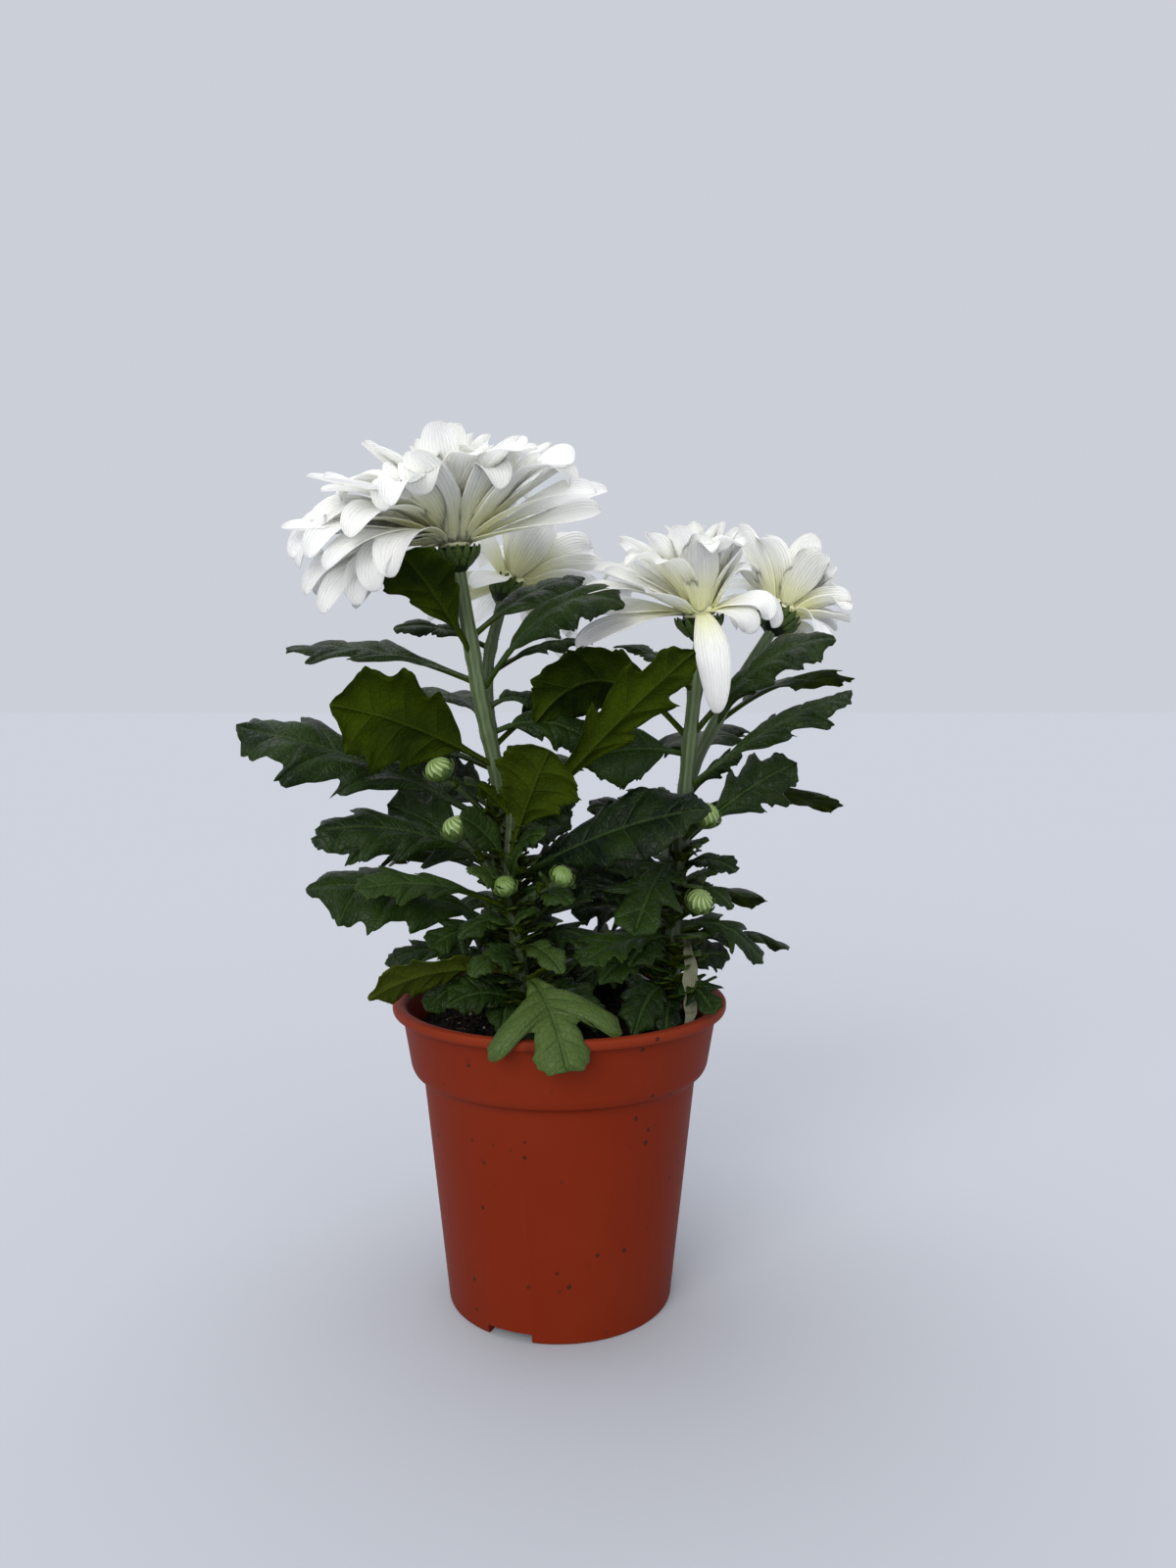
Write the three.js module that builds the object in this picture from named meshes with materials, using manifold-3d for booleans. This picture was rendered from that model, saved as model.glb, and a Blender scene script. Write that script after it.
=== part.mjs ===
// A potted chrysanthemum: four leafy flower stems and a short side shoot in a plastic grow pot.
//
// Millimetres, +Z up. The origin is on the pot's axis at the foot of the pot, and the front is -Y.
// The pot is lathed. Every stem is a tube along a curve, and every leaf and petal is a thin closed
// plate that is carried along its own midrib and sunk into what it grows from.

import * as THREE from "three";
import { mergeVertices } from "three/addons/utils/BufferGeometryUtils.js";
import Module from "manifold-3d";

const wasm = await Module();
wasm.setup();

// The pot, from its usual 12 cm size.
const POT = {
  lipRadius: 60,
  rimHeight: 109,
  lipHeight: 3.6,
  collarTop: 56.6,
  collarFoot: 53.4,
  collarHeight: 83.3,
  bodyTop: 49,
  footRadius: 40.4,
  wall: 1.6,
  floor: 2,
  edge: 1,
  sides: 36,
};
const SLOT = { width: 16.5, height: 3.3, depth: 9, first: -114, count: 3 };
const SOIL = { height: 99, sink: 2.5, clear: 0.9, sides: 20, rings: 4, lump: 1.1 };

// Clear distance between pieces that touch.
const GAP = 0.3;

const LEAF = { thick: 0.8, petioleWide: 2.2, petioleThick: 1.8, petiole: 0.2, fold: 0.16, ripple: 0.05 };
const CUP = { foot: 3, brim: 7.4, height: 7, sunk: 2, flare: 0.8, sides: 10 };
const CORE = { radius: 6.6, height: 10, edge: 1.6, top: 2.6, sides: 8 };

// A petal: its foot's width and how it is cupped, where the lowest is rooted, how far its upper side turns to
// the front, where it starts to roll, and how far petals stray from the rule of their bloom.
const PETAL = { thick: 0.8, foot: 3, cup: 0.34, low: 2.8, sunk: 1.2, turned: 0.55, rolls: 0.62, steps: 16 };
const STRAY = { bearing: 0.14, rise: 5, bend: 9, reach: 0.08 };

// Places and widths along an outer petal and along one of the inner ones, which start at `inner`.
const PETAL_SHAPES = {
  inner: 0.18,
  outerWidths: [[0.45, 0.92], [0.8, 0.9], [1, 0]],
  innerWidths: [[0.66, 1], [1, 0]],
};

// How far in a petal is rooted, from the outer ring to the middle, where its angles and length are given.
const RING = [0, 0.35, 0.7, 1];
const GOLDEN_ANGLE = Math.PI * (3 - Math.sqrt(5));

// Half outlines of a leaf blade. Each row is a place on the midrib, then the place and reach of the edge
// that its side vein runs to, as shares of the blade's length: a wedge foot, two lobes and an end lobe.
const OUTLINES = {
  broad: [
    [0, 0, 0.03],
    [0.05, 0.08, 0.14],
    [0.17, 0.31, 0.29],
    [0.26, 0.37, 0.24],
    [0.4, 0.6, 0.35],
    [0.5, 0.66, 0.28],
    [0.7, 0.86, 0.24],
    [1, 1, 0],
  ],
  fan: [
    [0, 0, 0.03],
    [0.06, 0.11, 0.09],
    [0.19, 0.35, 0.27],
    [0.28, 0.43, 0.28],
    [0.42, 0.64, 0.4],
    [0.56, 0.78, 0.35],
    [0.7, 0.93, 0.26],
    [1, 1, 0],
  ],
  oval: [
    [0, 0, 0.03],
    [0.05, 0.08, 0.12],
    [0.17, 0.3, 0.27],
    [0.26, 0.4, 0.29],
    [0.42, 0.58, 0.33],
    [0.56, 0.72, 0.27],
    [0.74, 0.88, 0.17],
    [1, 1, 0],
  ],
  fingers: [
    [0, 0, 0.04],
    [0.1, 0.16, 0.1],
    [0.2, 0.44, 0.39],
    [0.33, 0.43, 0.18],
    [0.46, 0.84, 0.34],
    [0.6, 0.76, 0.16],
    [0.8, 0.94, 0.14],
    [1, 1, 0],
  ],
  deep: [
    [0, 0, 0.03],
    [0.06, 0.1, 0.1],
    [0.16, 0.3, 0.34],
    [0.26, 0.36, 0.12],
    [0.42, 0.62, 0.42],
    [0.52, 0.64, 0.15],
    [0.74, 0.88, 0.23],
    [1, 1, 0],
  ],
  slim: [
    [0, 0, 0.03],
    [0.1, 0.16, 0.08],
    [0.25, 0.37, 0.2],
    [0.34, 0.45, 0.13],
    [0.5, 0.65, 0.25],
    [0.6, 0.72, 0.13],
    [0.78, 0.88, 0.15],
    [1, 1, 0],
  ],
  young: [
    [0, 0, 0.05],
    [0.14, 0.26, 0.25],
    [0.34, 0.44, 0.15],
    [0.52, 0.7, 0.25],
    [1, 1, 0],
  ],
};

// Stems: the points that each runs through, its thickness, and where it stands in the soil.
const STEMS = {
  a: {
    radius: 2.9,
    path: [
      [-16, -14, 78],
      [-16, -14, 110],
      [-17, -14, 150],
      [-21, -14, 187],
      [-26.5, -16, 215],
      [-34, -18, 260],
    ],
  },
  b: {
    radius: 2.5,
    path: [
      [-15, 16, 78],
      [-15, 16, 110],
      [-20, 18, 160],
      [-26, 22, 200],
      [-28, 28, 228],
      [-23, 36, 254],
    ],
  },
  c: {
    radius: 2.7,
    path: [
      [39, -12, 78],
      [39, -12, 110],
      [41.5, -12, 150],
      [44.5, -12, 190],
      [47, -13, 218],
      [49, -14, 237],
    ],
  },
  d: {
    radius: 2.4,
    path: [
      [37, 18, 78],
      [37, 18, 110],
      [41, 18, 148],
      [48, 18, 186],
      [64, 21, 218],
      [79, 22, 242],
    ],
  },
  e: {
    radius: 2.1,
    path: [
      [-10, -26, 80],
      [-10, -26, 105],
      [-14, -27, 135],
      [-16, -28, 160],
      [-15, -28, 178],
    ],
  },
};

// Leaves: the stem, the height that each grows from, its tip, how far its midrib arches, and where its
// upper side looks. They are placed one by one, as on the plant, and the far side is filled the same way.
const LEAVES = [
  { stem: "a", at: 231, tip: [-49, -44, 262], arch: 3, face: [0.2, 1, 0.3], form: "fan", wide: 0.9 },
  { stem: "a", at: 222, tip: [-97, 0, 233], arch: 7, face: [0, -0.5, 1], form: "slim", wide: 1.1 },
  { stem: "a", at: 193, tip: [-73, -42, 214], arch: 4, face: [0, 1, 0.2], form: "broad", wide: 1.05 },
  { stem: "a", at: 171, tip: [-108, -26, 206], arch: 7, face: [0, -0.45, 1], form: "slim", wide: 1.1 },
  { stem: "a", at: 158, tip: [-80, -34, 172], arch: 8, face: [0, -0.5, 1], form: "slim", wide: 1.2 },
  { stem: "a", at: 150, tip: [-62, 2, 178], arch: 6, face: [0.3, -0.9, 0.4], form: "deep" },
  { stem: "a", at: 135, tip: [-83, -36, 153], arch: 9, face: [0, -0.5, 1], form: "broad", wide: 0.9 },
  { stem: "a", at: 121, tip: [-60, -18, 124], arch: 9, face: [0, -0.4, 1], form: "slim" },
  { stem: "a", at: 237, tip: [9, 0, 259], arch: 6, face: [0, -0.5, 1], form: "oval" },
  { stem: "a", at: 218, tip: [22, -33, 246], arch: 20, face: [0, -0.6, 0.8], form: "broad", wide: 0.75 },
  { stem: "a", at: 212, tip: [-2, 8, 205], arch: 12, face: [0, -0.6, 0.8], form: "broad", wide: 0.8 },
  { stem: "b", at: 190, tip: [-83, 14, 196], arch: 9, face: [0, -0.5, 1], form: "broad", wide: 0.9 },
  { stem: "b", at: 172, tip: [-62, 44, 184], arch: 8, face: [0, -0.8, 0.6], form: "broad" },
  { stem: "b", at: 148, tip: [-93, 16, 163], arch: 8, face: [0, -0.3, 1], form: "slim" },
  { stem: "b", at: 226, tip: [12, 20, 237], arch: 6, face: [0, -0.4, 1], form: "slim" },
  { stem: "b", at: 236, tip: [-64, 30, 243], arch: 5, face: [0, -0.4, 1], form: "young", wide: 0.8 },
  { stem: "b", at: 205, tip: [-56, 84, 216], arch: 10, face: [0, 0.2, 1], form: "broad" },
  { stem: "b", at: 180, tip: [-8, 96, 186], arch: 10, face: [0, 0.3, 1], form: "broad" },
  { stem: "b", at: 158, tip: [-66, 72, 148], arch: 12, face: [0, 0.3, 1], form: "deep" },
  { stem: "b", at: 132, tip: [-30, 84, 126], arch: 12, face: [0, 0.3, 1], form: "broad" },
  { stem: "c", at: 202, tip: [-8, -12, 208], arch: 26, face: [0, 0.6, 0.8], form: "oval", wide: 1.1 },
  { stem: "c", at: 197, tip: [7, -27, 195], arch: 4, face: [0, -0.9, 0.5], form: "oval", wide: 1.05 },
  { stem: "c", at: 222, tip: [20, 4, 235], arch: 4, face: [0, -0.4, 1], form: "young" },
  { stem: "c", at: 219, tip: [33, -27, 226], arch: 2, face: [0, -0.5, 1], form: "young" },
  { stem: "c", at: 203, tip: [94, -22, 236], arch: 12, face: [0, -0.5, 1], form: "broad", wide: 0.7 },
  { stem: "c", at: 185, tip: [102, -12, 218], arch: 5, face: [0, -0.5, 1], form: "slim" },
  { stem: "c", at: 165, tip: [85, 0, 193], arch: 4, face: [0.1, -0.8, 0.7], form: "slim", wide: 1.2 },
  { stem: "c", at: 160, tip: [25, -48, 140], arch: 9, face: [0, -0.6, 0.8], form: "deep" },
  { stem: "c", at: 158, tip: [60, -28, 158], arch: 4, face: [0, -0.5, 1], form: "young" },
  { stem: "c", at: 150, tip: [60, -20, 144], arch: 5, face: [0, -0.6, 1], form: "young" },
  { stem: "c", at: 131, tip: [8, -50, 131], arch: 6, face: [0, -0.5, 1], form: "slim" },
  { stem: "c", at: 134, tip: [71, -16, 124], arch: 12, face: [0, -0.5, 1], form: "deep", wide: 0.9 },
  { stem: "c", at: 114, tip: [25, -41, 105], arch: 10, face: [0, -0.8, 0.6], form: "broad", wide: 0.8 },
  { stem: "c", at: 110, tip: [36, -37, 103.5], arch: 7, face: [0, -0.8, 0.6], form: "young" },
  { stem: "d", at: 204, tip: [78, 4, 230], arch: 5, face: [0, -0.7, 0.7], form: "slim" },
  { stem: "d", at: 178, tip: [66, 4, 196], arch: 4, face: [0, -0.7, 0.7], form: "slim" },
  { stem: "d", at: 208, tip: [112, 58, 222], arch: 10, face: [0, 0.2, 1], form: "broad" },
  { stem: "d", at: 190, tip: [62, 92, 200], arch: 10, face: [0, 0.3, 1], form: "broad" },
  { stem: "d", at: 172, tip: [106, 40, 172], arch: 12, face: [0.1, 0.2, 1], form: "deep" },
  { stem: "d", at: 152, tip: [32, 92, 158], arch: 10, face: [0, 0.3, 1], form: "broad" },
  { stem: "d", at: 136, tip: [78, 62, 130], arch: 12, face: [0.2, 0.3, 1], form: "broad" },
  { stem: "d", at: 120, tip: [86, 18, 122], arch: 10, face: [0.2, 0, 1], form: "deep" },
  { stem: "e", at: 164, tip: [-2, -50, 200], arch: 2, face: [0, 1, 0.3], form: "fan", wide: 1.05 },
  { stem: "e", at: 170, tip: [44, -48, 231], arch: 3, face: [-0.5, 0.9, 0.5], form: "slim", wide: 0.8 },
  { stem: "e", at: 155, tip: [49, -54, 181], arch: 6, face: [0, -0.7, 0.7], form: "oval", wide: 0.8 },
  { stem: "e", at: 134, tip: [24, -15, 168], arch: 3, face: [-0.2, -0.8, 0.6], form: "broad", wide: 0.85 },
  { stem: "e", at: 146, tip: [-64, -50, 155], arch: 6, face: [0, -0.3, 1], form: "slim" },
  { stem: "e", at: 124, tip: [-61, -46, 119], arch: 7, face: [0, 0.6, 0.8], form: "broad", wide: 0.9 },
  { stem: "e", at: 122, tip: [4, -68, 102], arch: 12, face: [0, -0.8, 0.7], form: "fingers", wide: 1.2 },
  { stem: "e", at: 116, tip: [13, -42, 107], arch: 9, face: [0, -0.8, 0.6], form: "broad", wide: 0.9 },
  { stem: "e", at: 150, tip: [5, -44, 150], arch: 5, face: [0, -0.6, 0.8], form: "young" },
  { stem: "e", at: 140, tip: [-32, -42, 138], arch: 5, face: [0, -0.6, 0.8], form: "young" },
  { stem: "e", at: 128, tip: [-28, -44, 126], arch: 5, face: [0, -0.6, 0.8], form: "young" },
  { stem: "e", at: 132, tip: [2, -44, 127], arch: 5, face: [0, -0.6, 0.8], form: "young" },
  { stem: "e", at: 176, tip: [-14, -36, 192], arch: 0, face: [0, 0.8, 0.4], form: "young" },
  { stem: "e", at: 177, tip: [-26, -34, 188], arch: 0, face: [0.4, 0.8, 0.3], form: "young" },
];

// Buds: the stem and height of the stalk, and the middle and radius of the head.
const BUDS = [
  { stem: "a", at: 168, head: [-39, -34, 193], radius: 4.4, arch: 3 },
  { stem: "e", at: 150, head: [-33, -37, 174], radius: 4.5, arch: 0 },
  { stem: "e", at: 144, head: [-17, -39, 155], radius: 3.6, arch: -1 },
  { stem: "e", at: 146, head: [2, -51, 160], radius: 3.4, arch: 0 },
  { stem: "c", at: 166, head: [50, -25, 177], radius: 4.6, arch: 0 },
  { stem: "c", at: 139, head: [48, -27, 148], radius: 4.4, arch: 0 },
  { stem: "a", at: 180, head: [-13, -3, 194], radius: 3.8, arch: 0 },
];
const BUD_RIBS = { count: 5, depth: 0.05 };

// Blooms: the stem each tops, the way it looks, and its ray petals from the outer ring, which spreads,
// to the middle ones, which stand. A crowded side, towards a neighbour, is shorter and steeper.
// The rise, bend and length of a petal are given at the places of RING between those two. On the side of
// its fan the outer petals are lifted and straighter.
const BLOOMS = [
  {
    stem: "a",
    axis: [-0.1, -0.05, 1],
    petals: 26,
    reach: 52,
    wide: 15.5,
    crowd: 80,
    squeeze: 0.3,
    fan: 318,
    lift: 14,
    rise: [24, 50, 68, 86],
    bend: [-40, -58, -44, -8],
    length: [1, 0.86, 0.68, 0.5],
  },
  {
    stem: "b",
    axis: [0.5, 0.62, 0.9],
    petals: 21,
    reach: 40,
    wide: 13.5,
    crowd: 245,
    squeeze: 0.35,
    fan: 270,
    lift: 0,
    rise: [26, 55, 72, 86],
    bend: [-48, -72, -50, -8],
    length: [1, 0.88, 0.68, 0.45],
  },
  {
    stem: "c",
    axis: [-0.1, -0.12, 1],
    petals: 22,
    reach: 36,
    wide: 14,
    crowd: 45,
    squeeze: 0.4,
    fan: 290,
    lift: 24,
    rise: [34, 60, 74, 86],
    bend: [-34, -40, -28, -8],
    length: [1, 0.93, 0.86, 0.66],
  },
  {
    stem: "d",
    axis: [0.5, 0.5, 0.9],
    petals: 21,
    reach: 33,
    wide: 12.5,
    crowd: 215,
    squeeze: 0.3,
    fan: 270,
    lift: 0,
    rise: [30, 55, 72, 86],
    bend: [-48, -72, -50, -8],
    length: [1, 0.88, 0.68, 0.45],
  },
];

// Petals that stand out from the rule: bearing, rise at the root, bend along it, length and width, and how
// far the tip rolls over.
const LONE_PETALS = {
  a: [
    { bearing: 190, rise: 10, bend: -46, reach: 47, wide: 14, curl: -20 },
    { bearing: 262, rise: 50, bend: -20, reach: 45, wide: 16, curl: -140 },
    { bearing: 200, rise: 36, bend: -34, reach: 45, wide: 17, curl: -50 },
    { bearing: 176, rise: 22, bend: -26, reach: 56, wide: 12, curl: -70 },
    { bearing: 202, rise: -2, bend: -58, reach: 38, wide: 12, curl: 0 },
    { bearing: 326, rise: 40, bend: -22, reach: 52, wide: 19, curl: -40 },
    { bearing: 350, rise: 10, bend: -8, reach: 46, wide: 18, curl: 0 },
    { bearing: 12, rise: 26, bend: -20, reach: 52, wide: 15, curl: 0 },
    { bearing: 290, rise: 52, bend: -16, reach: 44, wide: 16, curl: -60 },
  ],
  b: [
    { bearing: 150, rise: -14, bend: -60, reach: 34, wide: 11, curl: 0 },
    { bearing: 185, rise: -18, bend: -46, reach: 34, wide: 12, curl: 0 },
  ],
  c: [
    { bearing: 262, rise: -12, bend: -105, reach: 41, wide: 14, curl: 0 },
    { bearing: 192, rise: 10, bend: -40, reach: 40, wide: 13, curl: 0 },
    { bearing: 174, rise: 20, bend: -30, reach: 40, wide: 15, curl: 0 },
    { bearing: 232, rise: 28, bend: -14, reach: 27, wide: 13, curl: 0 },
    { bearing: 338, rise: 26, bend: -30, reach: 32, wide: 11, curl: -90 },
    { bearing: 350, rise: 34, bend: -40, reach: 34, wide: 11, curl: -60 },
  ],
  d: [{ bearing: 318, rise: 0, bend: -75, reach: 30, wide: 11, curl: -20 }],
};

// The dried leaf, from its upper end to the tip that nearly touches the soil.
const DRIED_LEAF = [
  { at: [44, -15.6, 134], wide: 2 },
  { at: [45, -20, 128], wide: 6.4 },
  { at: [45.5, -25, 119], wide: 8 },
  { at: [45, -27.5, 110], wide: 4.4 },
  { at: [43, -28.5, 102], wide: 1.6 },
];

const FINISH = {
  pot: { color: 0xa24a30, roughness: 0.55, metalness: 0 },
  soil: { color: 0x241a12, roughness: 1, metalness: 0 },
  leaf: { color: 0x2c5a2b, roughness: 0.5, metalness: 0 },
  petal: { color: 0xf2f1e8, roughness: 0.55, metalness: 0 },
  bud: { color: 0xb9cf8f, roughness: 0.6, metalness: 0 },
  dried: { color: 0xb9a684, roughness: 0.9, metalness: 0 },
};

const vector = (list) => new THREE.Vector3(...list);

/** A number from -1 to 1 that is always the same for the same two counts. */
function spread(first, second) {
  const value = Math.sin(first * 12.9898 + second * 78.233) * 43758.5453;
  return 2 * (value - Math.floor(value)) - 1;
}

/** A closed solid from a geometry whose seams meet, turned the right way out. */
function solidOf(geometry) {
  const bare = new THREE.BufferGeometry();
  bare.setAttribute("position", geometry.getAttribute("position"));
  bare.setIndex(geometry.index);
  const merged = mergeVertices(bare, 1e-4);
  const places = merged.getAttribute("position").array;
  const index = merged.index.array;
  const faces = [];
  let volume = 0;
  const [a, b, c] = [new THREE.Vector3(), new THREE.Vector3(), new THREE.Vector3()];
  for (let i = 0; i < index.length; i += 3) {
    const [u, v, w] = [index[i], index[i + 1], index[i + 2]];
    if (u === v || v === w || w === u) continue;
    faces.push([u, v, w]);
    a.fromArray(places, 3 * u);
    b.fromArray(places, 3 * v);
    c.fromArray(places, 3 * w);
    volume += a.dot(b.cross(c));
  }
  const triVerts = new Uint32Array(faces.map((face) => (volume < 0 ? face.reverse() : face)).flat());
  const vertProperties = Float32Array.from(places);
  return new wasm.Manifold(new wasm.Mesh({ numProp: 3, vertProperties, triVerts }));
}

/** A named mesh of a solid's largest body. Scraps and sealed hollows are left behind. */
function pieceOf(name, solid, finish) {
  const bodies = solid.decompose().sort((one, other) => other.volume() - one.volume());
  const { vertProperties, triVerts } = bodies[0].getMesh();
  const geometry = new THREE.BufferGeometry();
  geometry.setAttribute("position", new THREE.BufferAttribute(Float32Array.from(vertProperties), 3));
  geometry.setIndex(new THREE.BufferAttribute(Uint32Array.from(triVerts), 1));
  const mesh = new THREE.Mesh(geometry, new THREE.MeshStandardMaterial(finish));
  mesh.name = name;
  return mesh;
}

/** A lathed solid from [radius, height] pairs that start and end on the axis. */
function lathe(profile, sides) {
  const points = profile.map(([radius, height]) => new THREE.Vector2(radius, height));
  return new THREE.LatheGeometry(points, sides).rotateX(Math.PI / 2);
}

/** A round rod along a curve. */
function rod(curve, radius, sides, steps) {
  const ring = [];
  for (let i = 0; i < sides; i++) {
    const turn = (2 * Math.PI * i) / sides;
    ring.push(new THREE.Vector2(radius * Math.cos(turn), radius * Math.sin(turn)));
  }
  const sweep = { extrudePath: curve, steps, bevelEnabled: false };
  return solidOf(new THREE.ExtrudeGeometry(new THREE.Shape(ring), sweep));
}

/**
 * A thin closed plate through stations. Each has a left, middle and right point, and `half`, half its
 * thickness along the way it faces. Both faces are split into triangles alike.
 */
function plate(stations) {
  const places = [];
  for (const { left, middle, right, half } of stations) {
    for (const side of [1, -1]) {
      for (const point of [left, middle, right]) {
        places.push(...point.clone().addScaledVector(half, side).toArray());
      }
    }
  }
  const index = [];
  const quad = (a, b, c, d) => index.push(a, b, c, a, c, d);
  for (let i = 0; i + 1 < stations.length; i++) {
    const [here, next] = [6 * i, 6 * (i + 1)];
    for (const column of [0, 1]) {
      const [a, b] = [here + column, here + column + 1];
      const [c, d] = [next + column + 1, next + column];
      quad(a, b, c, d);
      quad(a + 3, d + 3, c + 3, b + 3);
    }
    quad(here, next, next + 3, here + 3);
    quad(next + 2, here + 2, here + 5, next + 5);
  }
  const last = 6 * (stations.length - 1);
  for (const column of [0, 1]) {
    quad(column + 1, column, column + 3, column + 4);
    quad(last + column, last + column + 1, last + column + 4, last + column + 3);
  }
  const geometry = new THREE.BufferGeometry();
  geometry.setAttribute("position", new THREE.Float32BufferAttribute(places, 3));
  geometry.setIndex(index);
  return solidOf(geometry);
}

/** The tangent, upward side and left side of a curve whose plate looks towards `face`. */
function frameAt(curve, place, face) {
  const along = curve.getTangent(place);
  const up = face.clone().addScaledVector(along, -face.dot(along)).normalize();
  return { up, left: up.clone().cross(along) };
}

/** The pot: one moulded wall with a lip, a collar and a step, and slots cut in its foot. */
function makePot() {
  const { lipRadius, rimHeight, collarTop, collarFoot, collarHeight } = POT;
  const { bodyTop, footRadius, wall, floor, edge } = POT;
  const lipFoot = rimHeight - POT.lipHeight;
  const profile = [
    [0, 0],
    [footRadius - edge, 0],
    [footRadius, edge],
    [bodyTop, collarHeight - 2 * edge],
    [bodyTop + edge, collarHeight],
    [collarFoot - edge, collarHeight + edge],
    [collarFoot, collarHeight + 3 * edge],
    [collarTop, lipFoot],
    [lipRadius - edge / 2, lipFoot],
    [lipRadius, lipFoot + edge / 2],
    [lipRadius, rimHeight - edge],
    [lipRadius - edge, rimHeight],
    [collarTop, rimHeight],
    [collarTop - wall, rimHeight - edge],
    [collarFoot - wall, collarHeight + 3 * edge],
    [bodyTop - wall, collarHeight - edge],
    [footRadius - wall, floor],
    [0, floor],
  ];
  let solid = solidOf(lathe(profile, POT.sides));
  for (let i = 0; i < SLOT.count; i++) {
    const slot = new THREE.BoxGeometry(2 * SLOT.depth, SLOT.width, 2 * SLOT.height);
    slot.translate(footRadius, 0, 0).rotateZ(THREE.MathUtils.degToRad(SLOT.first + (360 / SLOT.count) * i));
    solid = solid.subtract(solidOf(slot));
  }
  return pieceOf("pot", solid, FINISH.pot);
}

/** The soil: it fills the pot, its top is lumpy, and it has a plain hole for each stem. */
function makeSoil() {
  const { collarTop, collarFoot, collarHeight, rimHeight, bodyTop, footRadius, wall, floor, edge } = POT;
  const foot = collarHeight + 3 * edge;
  const share = (SOIL.height - foot) / (rimHeight - edge - foot);
  const brim = THREE.MathUtils.lerp(collarFoot, collarTop, share) - wall - SOIL.clear;
  const profile = [
    [0, floor + GAP],
    [footRadius - wall - SOIL.clear, floor + GAP],
    [bodyTop - wall - SOIL.clear, collarHeight - edge],
    [collarFoot - wall - SOIL.clear, foot],
  ];
  for (let ring = SOIL.rings; ring >= 0; ring--) {
    const out = ring / SOIL.rings;
    profile.push([brim * out, SOIL.height - SOIL.sink * out ** 4]);
  }
  const geometry = lathe(profile, SOIL.sides);
  const places = geometry.getAttribute("position");
  for (let i = 0; i < places.count; i++) {
    const [x, y, z] = [places.getX(i), places.getY(i), places.getZ(i)];
    if (z > foot + edge) {
      const lumps = Math.sin(x * 0.31 + 1) * Math.cos(y * 0.27);
      const swells = Math.sin(x * 0.13 + y * 0.5);
      places.setZ(i, z + SOIL.lump * (lumps + 0.6 * swells));
    }
  }
  let solid = solidOf(geometry);
  for (const { path, radius } of Object.values(STEMS)) {
    const [x, y, z] = path[0];
    const top = rimHeight + SOIL.height - z;
    const hole = new THREE.CylinderGeometry(radius + 2 * GAP, radius + 2 * GAP, top, 10);
    hole.rotateX(Math.PI / 2).translate(x, y, z - GAP + top / 2);
    solid = solid.subtract(solidOf(hole));
  }
  return pieceOf("soil", solid, FINISH.soil);
}

/** The curve of a stem, through its points. */
function stemCurve({ path }) {
  return new THREE.CatmullRomCurve3(path.map(vector), false, "catmullrom", 0.5);
}

/** The point of a rising stem at a height. */
function pointAt(curve, height) {
  let [low, high] = [0, 1];
  for (let i = 0; i < 24; i++) {
    const middle = (low + high) / 2;
    if (curve.getPoint(middle).z < height) low = middle;
    else high = middle;
  }
  return curve.getPoint(low);
}

/** A leaf: its petiole and its lobed blade, folded along the midrib and waved along the edge. */
function makeLeaf(root, leaf, count) {
  const tip = vector(leaf.tip);
  const bend = root.clone().lerp(tip, 0.5);
  bend.z += leaf.arch;
  const midrib = new THREE.QuadraticBezierCurve3(root, bend, tip);
  const face = vector(leaf.face);
  const blade = root.distanceTo(tip) * (1 - LEAF.petiole);
  const place = (share) => LEAF.petiole + (1 - LEAF.petiole) * share;
  const edgePoint = (share, out, side) => {
    const { up, left } = frameAt(midrib, place(share), face);
    const reach = out * blade * (leaf.wide ?? 1) * (1 + 0.1 * spread(count, side));
    const lift = LEAF.fold * reach + LEAF.ripple * blade * out * Math.sin(11 * share + 3 * side + count);
    return midrib.getPoint(place(share)).addScaledVector(left, side * reach).addScaledVector(up, lift);
  };
  const { up, left } = frameAt(midrib, 0, face);
  const petiole = (share) => {
    const middle = midrib.getPoint(share);
    return {
      left: middle.clone().addScaledVector(left, LEAF.petioleWide / 2),
      middle,
      right: middle.clone().addScaledVector(left, -LEAF.petioleWide / 2),
      half: up.clone().multiplyScalar(LEAF.petioleThick / 2),
    };
  };
  const stations = [petiole(0)];
  for (const [share, edge, out] of OUTLINES[leaf.form]) {
    stations.push({
      left: edgePoint(edge, out, 1),
      middle: midrib.getPoint(place(share)),
      right: edgePoint(edge, out, -1),
      half: frameAt(midrib, place(share), face).up.multiplyScalar(LEAF.thick / 2),
    });
  }
  return plate(stations);
}

/** The turn that brings +Z to an axis. */
function turnTo(axis) {
  return new THREE.Quaternion().setFromUnitVectors(new THREE.Vector3(0, 0, 1), axis.clone().normalize());
}

/** The green cup under a bloom, with its flat top at CUP.height. */
function makeCup(centre, axis) {
  const profile = [
    [0, -CUP.sunk],
    [CUP.foot, -CUP.sunk],
    [CUP.brim, CUP.height - CUP.sunk],
    [CUP.brim + CUP.flare, CUP.height],
    [0, CUP.height],
  ];
  const cup = lathe(profile, CUP.sides).applyQuaternion(turnTo(axis));
  return solidOf(cup.translate(...centre.toArray()));
}

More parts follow.
